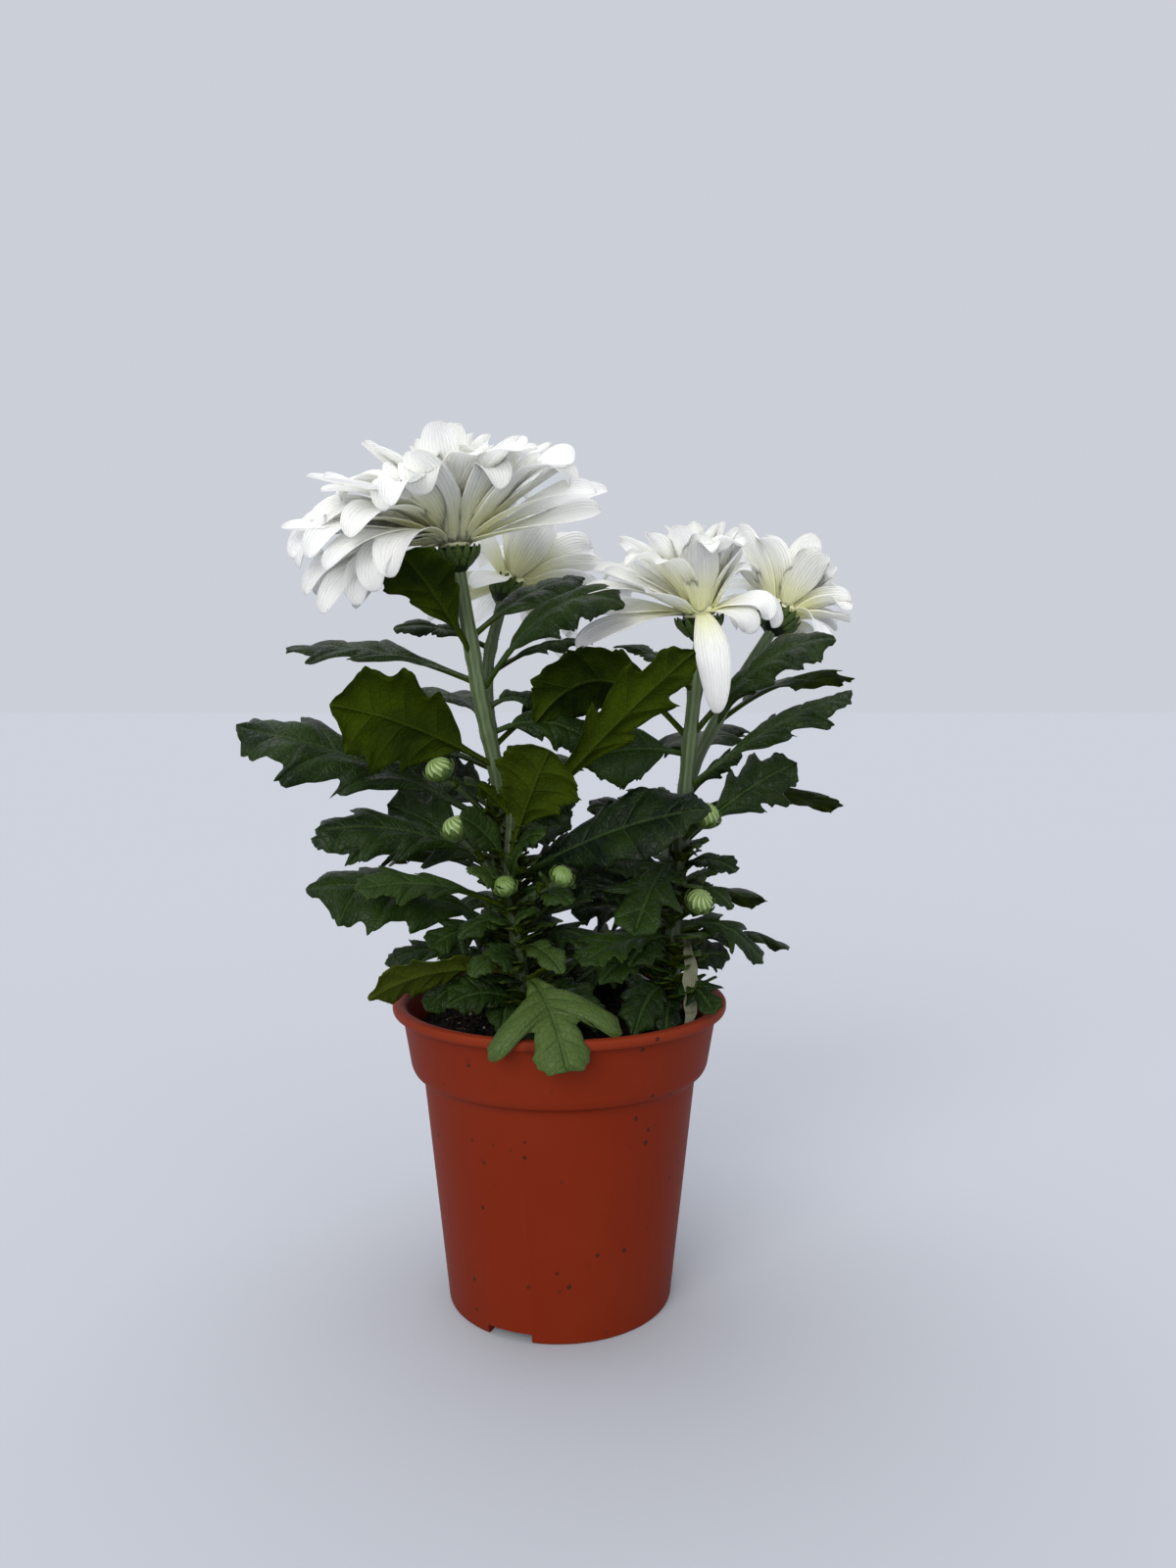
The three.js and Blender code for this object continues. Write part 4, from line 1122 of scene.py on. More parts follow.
# Petals that stand apart from the spiral: bearing, rise, bend, length, width, curl of the tip, and the share
# of the length from which the tip rounds off. A bearing of 270 looks to the front.
LONE_PETALS: dict[str, tuple[tuple[float, ...], ...]] = {
    "a": (
        (190, 10, -46, 47, 14, -20, 0.7), (262, 50, -20, 45, 16, -140, 0.7),
        (200, 36, -34, 45, 17, -50, 0.7), (176, 22, -26, 56, 12, -70, 0.6),
        (202, -2, -58, 38, 12, 0, 0.5), (326, 40, -22, 52, 19, -40, 0.7), (350, 10, -8, 46, 18, 0, 0.7),
        (12, 26, -20, 52, 15, 0, 0.6), (290, 52, -16, 44, 16, -60, 0.7), (214, 42, -84, 54, 15, -20, 0.6),
        (230, 54, -96, 47, 15, -20, 0.6), (198, 40, -72, 56, 14, -30, 0.6),
        (243, 60, -70, 44, 14, -70, 0.6), (184, 46, -66, 52, 14, -20, 0.6),
        (222, 30, -78, 50, 13, 0, 0.55), (208, 56, -84, 48, 15, -20, 0.6),
        (306, 44, -14, 50, 16, -50, 0.7), (192, 20, -64, 52, 13, -20, 0.6),
        (252, 64, -60, 40, 14, -80, 0.7), (338, 30, -30, 50, 14, -20, 0.6),
        (216, 20, -92, 44, 15, -20, 0.6), (228, 28, -98, 42, 15, -30, 0.6),
        (239, 36, -104, 40, 14, -30, 0.6), (204, 12, -74, 50, 14, 0, 0.6),
    ),
    "b": (
        (150, -14, -60, 34, 11, 0, 0.6), (250, -40, -30, 26, 13, 0, 0.5), (185, -18, -46, 34, 12, 0, 0.5),
    ),
    "c": (
        (274, -12, -105, 41, 12.5, 0, 0.3), (192, 10, -40, 40, 13, 0, 0.6),
        (174, 20, -30, 40, 15, 0, 0.6), (232, 28, -14, 27, 13, 0, 0.7), (338, 30, -60, 24, 11, -90, 0.7),
        (352, 24, -70, 26, 11, -60, 0.7), (318, 14, -60, 20, 10, -90, 0.7),
        (12, 26, -60, 28, 11, -60, 0.7),
    ),
    "d": (
        (318, 0, -75, 26, 11, -20, 0.6),
    ),
}  # fmt: skip

BLOOMS = [
    Bloom(
        "a", 0, (-0.1, -0.05, 1), 36, 52, 13.5, 80, 0.3, fan=318, lift=14,
        rise=(26, 46, 66, 86), bend=(-40, -48, -40, -8), length=(1, 0.9, 0.7, 0.5),
    ),
    Bloom("b", 1, (0.5, 0.62, 0.9), 25, 40, 13.5, 245, 0.35),
    Bloom(
        "c", 2, (-0.1, -0.12, 1), 30, 38, 12, 25, 0.5, fan=290, lift=24,
        rise=(34, 56, 72, 86), bend=(-34, -36, -26, -8), length=(1, 0.95, 0.74, 0.5), blunt=0.6,
    ),
    Bloom("d", 3, (0.5, 0.5, 0.9), 25, 33, 12.5, 345, 0.34, rise=(30, 55, 72, 86)),
]  # fmt: skip


# Pieces of the plant.


@dataclass(frozen=True)
class LeafCut:
    """How a leaf is drawn. Its edge has teeth, each with a few points, and its blade has columns that
    crowd towards the midrib. The teeth's depth and the stalk are shares of the blade's and the leaf's
    length, half is half the thickness in mm, and turned is the most that it twists, in radians. The last
    six give the form of the blade: how far it folds up, waves, rolls down at the margin, swells between
    its side veins, frills at its edge and sags."""

    teeth: int = 14
    per_tooth: int = 4
    columns: int = 8
    depth: float = 0.024
    petiole: float = 0.2
    petiole_rows: int = 7
    half: float = 0.2
    turned: float = 0.3
    fold: float = 0.16
    wave: float = 0.08
    curl: float = 0.26
    quilt: float = 1.3
    frill: float = 0.5
    sag: float = 0.006

    def draw(self, skin: Skin, root: Array, leaf: Leaf, count: float) -> None:
        """Adds a leaf. Its midrib is a Bezier curve, and each row of the blade runs straight from the midrib
        to the edge. The row is then lifted by the sum of its fold, wave, curl, quilt, frill and sag.

        Args:
            skin: what it is added to.
            root: where it grows from.
            leaf: its numbers.
            count: what its own small differences follow.
        """
        tip, face, wide = np.array(leaf.tip, float), np.array(leaf.face, float), leaf.wide
        ends = (root, root + (tip - root) * 0.58 + (1.3 * leaf.arch + 1) * UP, tip)
        blade = np.linalg.norm(tip - root) * (1 - self.petiole)
        rows = np.array(leaf.form.value, float)
        steps = self.teeth * self.per_tooth
        ladder = np.linspace(0, len(rows) - 1, steps + 1)
        middle, edge, out = spline(rows, ladder).T
        phase = (np.arange(steps + 1) % self.per_tooth) / (self.per_tooth - 1)
        lobes = (0.62 + 0.38 * np.cos(math.pi * ladder)) * ease(ladder, 0.9, 1.7)
        tooth = np.sin(0.8 * math.pi * phase**1.4) * lobes * self.depth * (1 + 0.4 * spread(count, 5))
        out = np.maximum(out + tooth, 0.004)
        edge = edge + 0.3 * tooth
        foot = np.linspace(0, 0.93, self.petiole_rows)
        narrow = 1.15 + (max(1.2, 0.03 * blade) - 1.15) * foot**2 - 0.3 * np.sin(math.pi * foot)
        stretch = 1 - self.petiole
        on_rib = np.concatenate((self.petiole * foot, self.petiole + stretch * middle))[:, None]
        on_edge = np.concatenate((self.petiole * foot, self.petiole + stretch * np.minimum(edge, 1)))[:, None]
        share = np.concatenate((0 * foot, np.minimum(edge, 1)))[:, None]
        out = np.concatenate((narrow / blade / wide, out))[:, None]
        ladder = np.concatenate((0 * foot, ladder))[:, None]
        is_blade = ease(on_rib, self.petiole * 0.9, self.petiole * 1.6)

        column = np.linspace(-1, 1, 2 * self.columns + 1)[None, :]
        across = np.sign(column) * np.abs(column) ** 1.5
        side, near = np.sign(across), np.abs(across)
        uneven = 1 + 0.1 * spread(count, 1) * (side > 0) + 0.1 * spread(count, -1) * (side < 0)
        reach = out * blade * wide * uneven
        rib_point = bezier(ends, on_rib)[0]
        edge_point, along = bezier(ends, on_edge)
        up = unit(face - along * (along @ face)[..., None])
        left = np.cross(up, along)
        turn = self.turned * spread(count, 11) * share[..., None]
        up, left = up * np.cos(turn) + left * np.sin(turn), left * np.cos(turn) - up * np.sin(turn)
        size = blade / 50
        fold = self.fold * reach * near**1.2
        wave = self.wave * blade * out * np.sin(11 * share + 3 * side + count) * near**1.5
        curl = -self.curl * (1 + 0.7 * spread(count, 7)) * reach * near**3
        quilt = self.quilt * size * np.sin(math.pi * np.clip(ladder / 2 % 1, 0, 1)) * np.sin(math.pi * near)
        frill = self.frill * size * np.sin(5.1 * ladder + 2 * side + count) * near**3
        sag = -self.sag * is_blade * reach**2 * near**2 * (1 + spread(count, 13))
        lift = fold + is_blade * (wave + curl + quilt + frill) + sag
        grid = rib_point + (edge_point - rib_point) * near[..., None] + left * (across * reach)[..., None]
        grid = grid + up * lift[..., None]
        off_rib = near * reach
        fade = 1 - on_rib
        rib = (0.25 + 1.35 * fade**2) * np.exp(-((off_rib / (0.7 + 0.5 * fade)) ** 2))
        above = self.half * (1 - 0.4 * near) - 0.12 * is_blade * np.exp(-((off_rib / 0.8) ** 2))
        below = self.half * (1 - 0.4 * near) + rib
        tone = leaf.tone + 0.25 * spread(count, 9)
        values = {"vein_place": ladder / 2, "off_rib": off_rib, "near_edge": near, "tone": tone}
        skin.shell(grid + up * above[..., None], grid - up * below[..., None], 0, values, 1)


FULL_LEAF = LeafCut()
YOUNG_LEAF = LeafCut(teeth=10, columns=5, depth=0.06, petiole_rows=4)
SPROUT = LeafCut(teeth=5, per_tooth=2, columns=1, depth=0.09, petiole_rows=2, half=0.15)


def draw_ray(skin: Skin, ray: Ray, turn: Array, centre: Array, rows: int = 22, columns: int = 6) -> None:
    """Adds one petal. Its middle line climbs and bends in an upright plane, its width swells from a narrow
    foot and rounds off to a blunt point, and its section is an arc with fine ribs.

    Args:
        skin: what it is added to.
        ray: its numbers.
        turn: the turn of its bloom, as a matrix.
        centre: where the bloom stands.
        rows: points along it.
        columns: points across each half.
    """
    share = 1 - (1 - np.linspace(0, 1, rows)) ** 1.5
    angle = ray.rise + ray.bend * share + ray.curl * ease(share, 0.62, 1.0)
    gaps = np.diff(share, prepend=0) * ray.reach
    halfway = np.concatenate((angle[:1], (angle[1:] + angle[:-1]) / 2))
    forward, upward = np.cumsum(gaps * np.cos(halfway)), np.cumsum(gaps * np.sin(halfway))
    radial = polar(ray.bearing + ray.sway * share**2)
    side = np.cross(UP, radial)
    middle = radial * (ray.out + forward)[:, None] + UP * (ray.root + upward)[:, None]
    up = UP * np.cos(angle)[:, None] - radial * np.sin(angle)[:, None]
    twist = ray.twist * share[:, None]
    side, up = side * np.cos(twist) + up * np.sin(twist), up * np.cos(twist) - side * np.sin(twist)

    swell = 3 / ray.wide + (1 - 3 / ray.wide) * ease(share, -0.15, 0.55)
    tip = np.sqrt(np.maximum(1 - (np.maximum(share - ray.blunt, 0) / (1.002 - ray.blunt)) ** 2.2, 0.0))
    half = np.maximum(swell * tip * ray.wide / 2, 0.12)[:, None]
    across = np.linspace(-1, 1, 2 * columns + 1)[None, :]
    roll = (ray.roll * (1.5 - np.sin(math.pi * share**0.7)) + 0.1)[:, None]
    sideways = half * np.sin(roll * across) / roll
    raised = half * (1 - np.cos(roll * across)) / roll
    ribs = 0.16 * np.cos(3 * math.pi * across) * np.sin(math.pi * share[:, None]) ** 0.6
    waves = 0.35 * np.sin(7 * share[:, None] + ray.seed + across) * np.abs(across) ** 2 * half / 7
    raised = raised + ribs + waves
    grid = middle[:, None] + side[:, None] * sideways[..., None] + up[:, None] * raised[..., None]
    thick = (0.12 + 0.2 * (1 - share[:, None])) * (1 - 0.5 * across**2)
    offset = up[:, None] * thick[..., None]
    values = {"along": share[:, None], "across": across, "tone": 0.5 + 0.5 * spread(ray.seed, 3)}
    skin.shell((grid + offset) @ turn.T + centre, (grid - offset) @ turn.T + centre, 0, values)


def bract(
    skin: Skin,
    foot: Array,
    way: Array,
    out: Array,
    size: tuple[float, float],
    bulge: float,
    paint: int,
) -> None:
    """Adds one scale of a cup: a small pointed plate that runs along `way`, bulges towards `out` and is
    widest a third of the way up.

    Args:
        skin: what it is added to.
        foot: the middle of its foot.
        way: the way that it grows.
        out: the way that it bulges.
        size: its length and width.
        bulge: how far it bulges.
        paint: which of the piece's materials it has.
    """
    share = np.linspace(0, 1, 6)[:, None]
    across = np.linspace(-1, 1, 5)[None, :]
    side = unit(np.cross(out, way))
    half = size[1] / 2 * np.maximum(np.sin(math.pi * (0.18 + 0.8 * share)) ** 0.8, 0.08)
    swell = bulge * np.sin(math.pi * share) - 0.25 * half * across**2
    grid = foot + way * (size[0] * share + 0 * across)[..., None] + side * (half * across)[..., None]
    grid = grid + out * swell[..., None]
    values = {"vein_place": 0.5, "off_rib": 9.0, "near_edge": np.abs(across), "tone": 1.7}
    skin.shell(grid + out * 0.15, grid - out * 0.2, paint, values)


def bud_way(root: Array, head: Array) -> Array:
    """The way that a bud looks: from its stalk's foot to its head, and then turned up."""
    return unit(unit(head - root) + 0.6 * UP)


@dataclass
class LeafyStem:
    """A stem with its leaves, sprouts, hairs, bud stalks and the cup under its bloom. Sprouts stand
    between two heights, the upper one also some way below the stem's top."""

    key: str
    name: str
    node: str
    sprouts: int
    seed: int
    hairs: int = 420
    sprouts_from: float = 106.0
    sprouts_to: float = 180.0
    bare_top: float = 8.0
    steps: int = 96

    def path(self, places: Array | None = None) -> Array:
        """The points of the stem's axis.

        Args:
            places: where they are, from 0 to 1, or none for even steps.

        Returns:
            One row for each place.
        """
        knots = np.array(STEMS[self.key][1], float)
        places = np.linspace(0, 1, self.steps) if places is None else places
        return spline(knots, places * (len(knots) - 1))

    def at(self, height: float) -> Array:
        """The point of the stem at a height."""
        line = self.path(np.linspace(0, 1, 600))
        return np.array([np.interp(height, line[:, 2], line[:, i]) for i in range(3)])

    def build(self, finishes: list[bpy.types.Material]) -> bpy.types.Object:
        """Builds the whole green piece.

        Args:
            finishes: those of the leaves' upper side, their underside, and the stem.

        Returns:
            The piece.
        """
        skin = Skin()
        line = self.path()
        joints = [leaf.foot for leaf in LEAVES if leaf.stem == self.key]
        swelling = sum(np.exp(-(((line[:, 2] - height) / 2.5) ** 2)) for height in joints)
        taper = 0.96 - 0.12 * np.linspace(0, 1, len(line))
        radius = STEMS[self.key][0] * taper + 0.35 * np.minimum(swelling, 1.2)
        tube(skin, line, radius, 2, sides=28, ridges=7, depth=0.07)
        for count, leaf in enumerate(LEAVES):
            if leaf.stem == self.key:
                cut = YOUNG_LEAF if leaf.form is YOUNG else FULL_LEAF
                cut.draw(skin, self.at(leaf.foot), leaf, count)
        for key, height, head, radius_of, arch in BUDS:
            if key == self.key:
                self.stalk(skin, self.at(height), np.array(head, float), radius_of, arch)
        for bloom in BLOOMS:
            if bloom.stem == self.key:
                self.cup(skin, bloom)
        self.add_sprouts(skin)
        self.add_hairs(skin, line, radius)
        return skin.build(self.name, finishes, self.node, "leaf")

    def stalk(self, skin: Skin, root: Array, head: Array, radius: float, arch: float) -> None:
        """Adds a bud's stalk, which thickens under the head, with a few tiny leaves.

        Args:
            skin: what it is added to.
            root: where it leaves the stem.
            head: the middle of the bud's head.
            radius: the head's radius in mm.
            arch: how far it arches up in mm.
        """
        way = bud_way(root, head)
        foot = head - way * (radius - 0.3)
        pull = root + (head - root) * 0.6 + arch * UP
        line = bezier((root, pull, foot), np.linspace(0, 1, 18))[0]
        tube(skin, line, 1.0 + 0.5 * np.linspace(0, 1, 18) ** 6, 2, sides=14, ridges=5, depth=0.08)
        rng = np.random.default_rng(int(abs(head[0]) * 7 + abs(head[2])))
        for share in (0.3, 0.55, 0.8):
            out = unit(rng.normal(size=3) * np.array([1, 1, 0.2]))
            start = line[int(share * 17)]
            tip, face = tuple(start + out * 5.5 + way * 5), tuple(unit(way - out * 0.4))
            SPROUT.draw(skin, start, Leaf(self.key, 0, tip, 1, face, YOUNG, 0.9, 1), share * 10)

    def cup(self, skin: Skin, bloom: Bloom) -> None:
        """Adds the cup under a bloom: a lathed body and two rows of pointed scales.

        Args:
            skin: what it is added to.
            bloom: the bloom that it holds.
        """
        turn, centre = turn_to(np.array(bloom.axis)), self.path(np.ones(1))[0]
        profile = rounded([(0, -2, 0), (2.9, -1, 1), (6.6, 4.4, 2), (7.4, 7, 0.8), (0, 7.4, 0)])
        revolve(skin, profile, 36, {"vein_place": 0.5, "off_rib": 9.0, "near_edge": 0.5}, turn, centre)
        for row, (count, low, radius, length) in enumerate(((12, 0.8, 4.4, 6.4), (16, 2.4, 5.8, 6.0))):
            for i in range(count):
                angle = 2 * math.pi * (i + 0.5 * row) / count
                out, way = unit(polar(angle, 1, -0.35)), unit(polar(angle, 0.5, 1))
                foot = turn @ polar(angle, radius, low) + centre
                bract(skin, foot, turn @ way, turn @ out, (length, 2.6), 0.9, 0)

    def add_sprouts(self, skin: Skin) -> None:
        """Adds tiny young leaves in tufts of three, most of which look to the front.

        Args:
            skin: what they are added to.
        """
        rng = np.random.default_rng(self.seed)
        low, high = self.sprouts_from, min(self.path()[-1, 2] - self.bare_top, self.sprouts_to)
        for tuft in range(self.sprouts):
            height = low + (high - low) * ((tuft + 0.5) / self.sprouts) ** 1.25
            root = self.at(height)
            bearing = rng.uniform(1.0, 2.0) * math.pi if tuft % 3 else rng.uniform(0, 2 * math.pi)
            size = rng.uniform(11, 19) * (1.25 - 0.5 * tuft / self.sprouts)
            for leaf in range(3):
                turn = bearing + (leaf - 1) * 0.75
                out = polar(turn, 1, rng.uniform(0.1, 0.8))
                tip = root + unit(out) * size * rng.uniform(0.7, 1.1)
                face = (-0.3 * math.cos(turn), -0.3 * math.sin(turn) - 0.3, 1.0)
                tone = rng.uniform(0.6, 1.5)
                sprout = Leaf(self.key, 0, tuple(tip), 1.5, face, YOUNG, 1.1, tone)
                SPROUT.draw(skin, root, sprout, tuft + 0.3 * leaf)

    def add_hairs(self, skin: Skin, line: Array, radius: Array) -> None:
        """Adds short fine hairs to the stem: three-sided spikes that stand out and lean up.

        Args:
            skin: what they are added to.
            line: the points of the stem's axis.
            radius: its radius at each of them.
        """
        rng = np.random.default_rng(self.seed + 1)
        place = rng.integers(24, len(line) - 2, self.hairs)
        turn = rng.uniform(0, 2 * math.pi, self.hairs)
        out = polar(turn, 1, rng.uniform(0, 0.5, self.hairs))
        foot = line[place] + polar(turn, 0.96 * radius[place])
        side, lift = 0.07 * np.cross(UP, polar(turn)), 0.07 * UP
        tips = foot + unit(out) * rng.uniform(0.5, 1.3, (self.hairs, 1))
        points = np.stack((foot - side - lift, foot + side - lift, foot + lift, tips), 1)
        index = (np.arange(self.hairs) * 4)[:, None, None]
        fans = (index + np.array([[0, 1, 3], [1, 2, 3], [2, 0, 3], [0, 2, 1]])).reshape(-1, 3)
        skin.add(points, np.zeros((0, 4), int), fans, 2, {"near_edge": np.ones(self.hairs * 4)})


@dataclass
class BloomHead:
    """The petals of one bloom, on a hidden core."""

    bloom: Bloom

    def build(self, petal: bpy.types.Material) -> bpy.types.Object:
        """Builds the bloom's one piece.

        Args:
            petal: its finish.

        Returns:
            The piece.
        """
        bloom = self.bloom
        turn = turn_to(np.array(bloom.axis))
        centre = np.array(STEMS[bloom.stem][1][-1], float)
        skin = Skin()
        profile = [(0, 7.3, 0), (5, 7.3, 1), (5.8, 9, 2), (5.2, 13, 2), (3, 16.5, 2), (0, 17, 0)]
        revolve(skin, rounded(profile), 30, {"upper": 1.0}, turn, centre)
        for ray in bloom.rays():
            draw_ray(skin, ray, turn, centre)
        return skin.build(f"ray_petals_{bloom.stem}", [petal], f"bloom_{bloom.stem}", "petal")


@dataclass
class BudHead:
    """A closed bud: folded petals that wind to the top, with green scales round the lower half."""

    number: int
    root: Array
    head: Array
    radius: float
    folds: int = 12
    scales: int = 9
    ripe_radius: float = 4.0
    unripe: float = 0.62

    def build(self, petal: bpy.types.Material, scale: bpy.types.Material) -> bpy.types.Object:
        """Builds the bud's one piece. The ball's radius is r * (1 + 0.045 cos(folds * (turn + 0.5 climb))). A
        head up to the ripe radius has greener ribs.

        Args:
            petal: the finish of its petals.
            scale: the finish of its scales.

        Returns:
            The piece.
        """
        turn = turn_to(bud_way(self.root, self.head))
        skin = Skin()
        climb = np.linspace(-1.35, 1.35, 22)[:, None]
        angle = np.linspace(0, 2 * math.pi, 72, endpoint=False)[None, :]
        wave = np.cos(self.folds * (angle + 0.5 * climb))
        body = self.radius * (1 + 0.045 * wave * np.cos(climb) - 0.1 * ease(climb, 0.9, 1.5))
        squash = np.where(climb > 0, 0.86, 0.98)
        grid = polar(angle, body * np.cos(climb), body * np.sin(climb) * squash)
        ends = self.radius * np.array([[-0.95], [0.7]]) * UP
        ripe = 1.0 if self.radius > self.ripe_radius else self.unripe
        values = {"along": (climb + 1.35) / 2.7, "across": ripe * (0.5 + 0.5 * wave)}
        skin.rings(grid @ turn.T + self.head, tuple(ends @ turn.T + self.head), 0, values)
        for row, (low, reach) in enumerate(((-0.92, 0.98), (-0.72, 1.12))):
            for i in range(self.scales):
                bearing = 2 * math.pi * (i + 0.5 * row) / self.scales
                foot = turn @ polar(bearing, 0.52 + 0.22 * row, low) * self.radius + self.head
                grow, out = turn @ unit(polar(bearing, 0.42, 1)), turn @ polar(bearing)
                size = (self.radius * reach, self.radius * 0.62)
                bract(skin, foot, grow, out, size, 0.24 * self.radius, 1)
        return skin.build(f"bud_head_{self.number}", [petal, scale], f"bud_{self.number}", "bud")


@dataclass
class PaperyLeaf:
    """The dried leaf: a crumpled strip that hangs from beside stem C to the soil."""

    path: tuple[Point, ...] = (
        (44, -15.6, 134),
        (45, -20, 128),
        (45.5, -25, 119),
        (45, -27.5, 110),
        (43, -28.5, 102),
    )
    halves: tuple[float, ...] = (0.6, 1.8, 2.8, 2, 0.6)

    def build(self, finish: bpy.types.Material) -> bpy.types.Object:
        """Builds the leaf: a spline carries a folded, crumpled strip with ragged edges.

        Args:
            finish: its material.

        Returns:
            The piece.
        """
        places = np.linspace(0, 4, 40)
        line = spline(np.array(self.path, float), places)
        half = np.maximum(spline(np.array(self.halves, float)[:, None], places), 0.5)
        across = np.linspace(-1, 1, 13)[None, :]
        ragged = 1 + 0.16 * np.sin(7 * places[:, None] + 5 * np.sign(across)) * np.abs(across) ** 3
        side, back = unit(np.array([1, 0.2, 0.0])), np.array([0, -1.0, 0])
        fold = 1.4 * across**2 - 0.9 * np.cos(2.6 * across + places[:, None])
        grid = line[:, None] + side * (half * across * ragged)[..., None]
        crumple = 1.1 * ripples(grid, 2.6, 4) + 0.4 * ripples(grid, 1.1, 5)
        grid = grid + back * (fold * 0.6 + crumple)[..., None]
        skin = Skin()
        skin.shell(grid + back * 0.15, grid - back * 0.15, 0, {"across": across})
        return skin.build("papery_dried_leaf", [finish], "dried_leaf", "dried_leaf")


@dataclass
class GrowPot:
    """The moulded pot: a lathed wall with a lip and a collar, and drainage slots in its foot. Each slot
    is cut by a box that reaches out from one radius to another, and up to the slot's height."""

    sides: int = 160
    slots: int = 3
    first_slot: float = -114.0
    slot_reach: tuple[float, float] = (31.4, 49.4)
    slot_width: float = 16.5
    slot_height: float = 3.3

    def build(self, finish: bpy.types.Material) -> bpy.types.Object:
        """Builds the pot, then cuts its slots with boxes and applies the cut.

        Args:
            finish: its material.

        Returns:
            The piece.
        """
        profile = rounded([
            (0, 0.6, 0), (36, 0.6, 1), (37.4, 0, 0.4), (40.4, 0, 1.0), (49, 81.3, 3), (50, 83.3, 0.8),
            (52.4, 84.3, 0.8), (53.4, 86.3, 1.2), (56.6, 105.4, 0.6), (59.5, 105.4, 0.6), (60, 106.4, 0.8),
            (60, 108.6, 0.9), (58.4, 109, 0.9), (56.4, 108.8, 0.9), (55, 107, 1), (51.8, 86.3, 3),
            (47.4, 82.3, 3), (38.8, 2, 1.5), (0, 2, 0),
        ])  # fmt: skip
        skin = Skin()
        revolve(skin, profile, self.sides)
        pot = skin.build("moulded_grow_pot", [finish], "pot", "pot")
        for i in range(self.slots):
            angle = math.radians(self.first_slot + 360 / self.slots * i)
            box = self.cutter(angle)
            cut = pot.modifiers.new("slot", "BOOLEAN")
            cut.operation, cut.solver, cut.object = "DIFFERENCE", "EXACT", box
            graph = bpy.context.evaluated_depsgraph_get()
            made = bpy.data.meshes.new_from_object(pot.evaluated_get(graph))
            pot.modifiers.clear()
            pot.data = made
            bpy.data.objects.remove(box)
        pot.data.polygons.foreach_set("use_smooth", np.ones(len(pot.data.polygons), bool))
        pot.data.set_sharp_from_angle(angle=math.radians(50))
        return pot

    def cutter(self, angle: float) -> bpy.types.Object:
        """Makes the box that cuts one slot.

        Args:
            angle: the slot's bearing in radians.

        Returns:
            The box.
        """
        radial = polar(angle)
        half, high = self.slot_width / 2, self.slot_height
        spans = np.meshgrid(self.slot_reach, (-half, half), (-high, high), indexing="ij")
        reach, sideways, up = (span.reshape(-1, 1) for span in spans)
        corners = reach * radial + sideways * np.cross(UP, radial) + up * UP
        mesh = bpy.data.meshes.new("slot_cutter")
        faces = [(0, 1, 3, 2), (4, 6, 7, 5), (0, 4, 5, 1), (2, 3, 7, 6), (0, 2, 6, 4), (1, 5, 7, 3)]
        mesh.from_pydata((corners * MM).tolist(), [], faces)
        return put("slot_cutter", mesh)


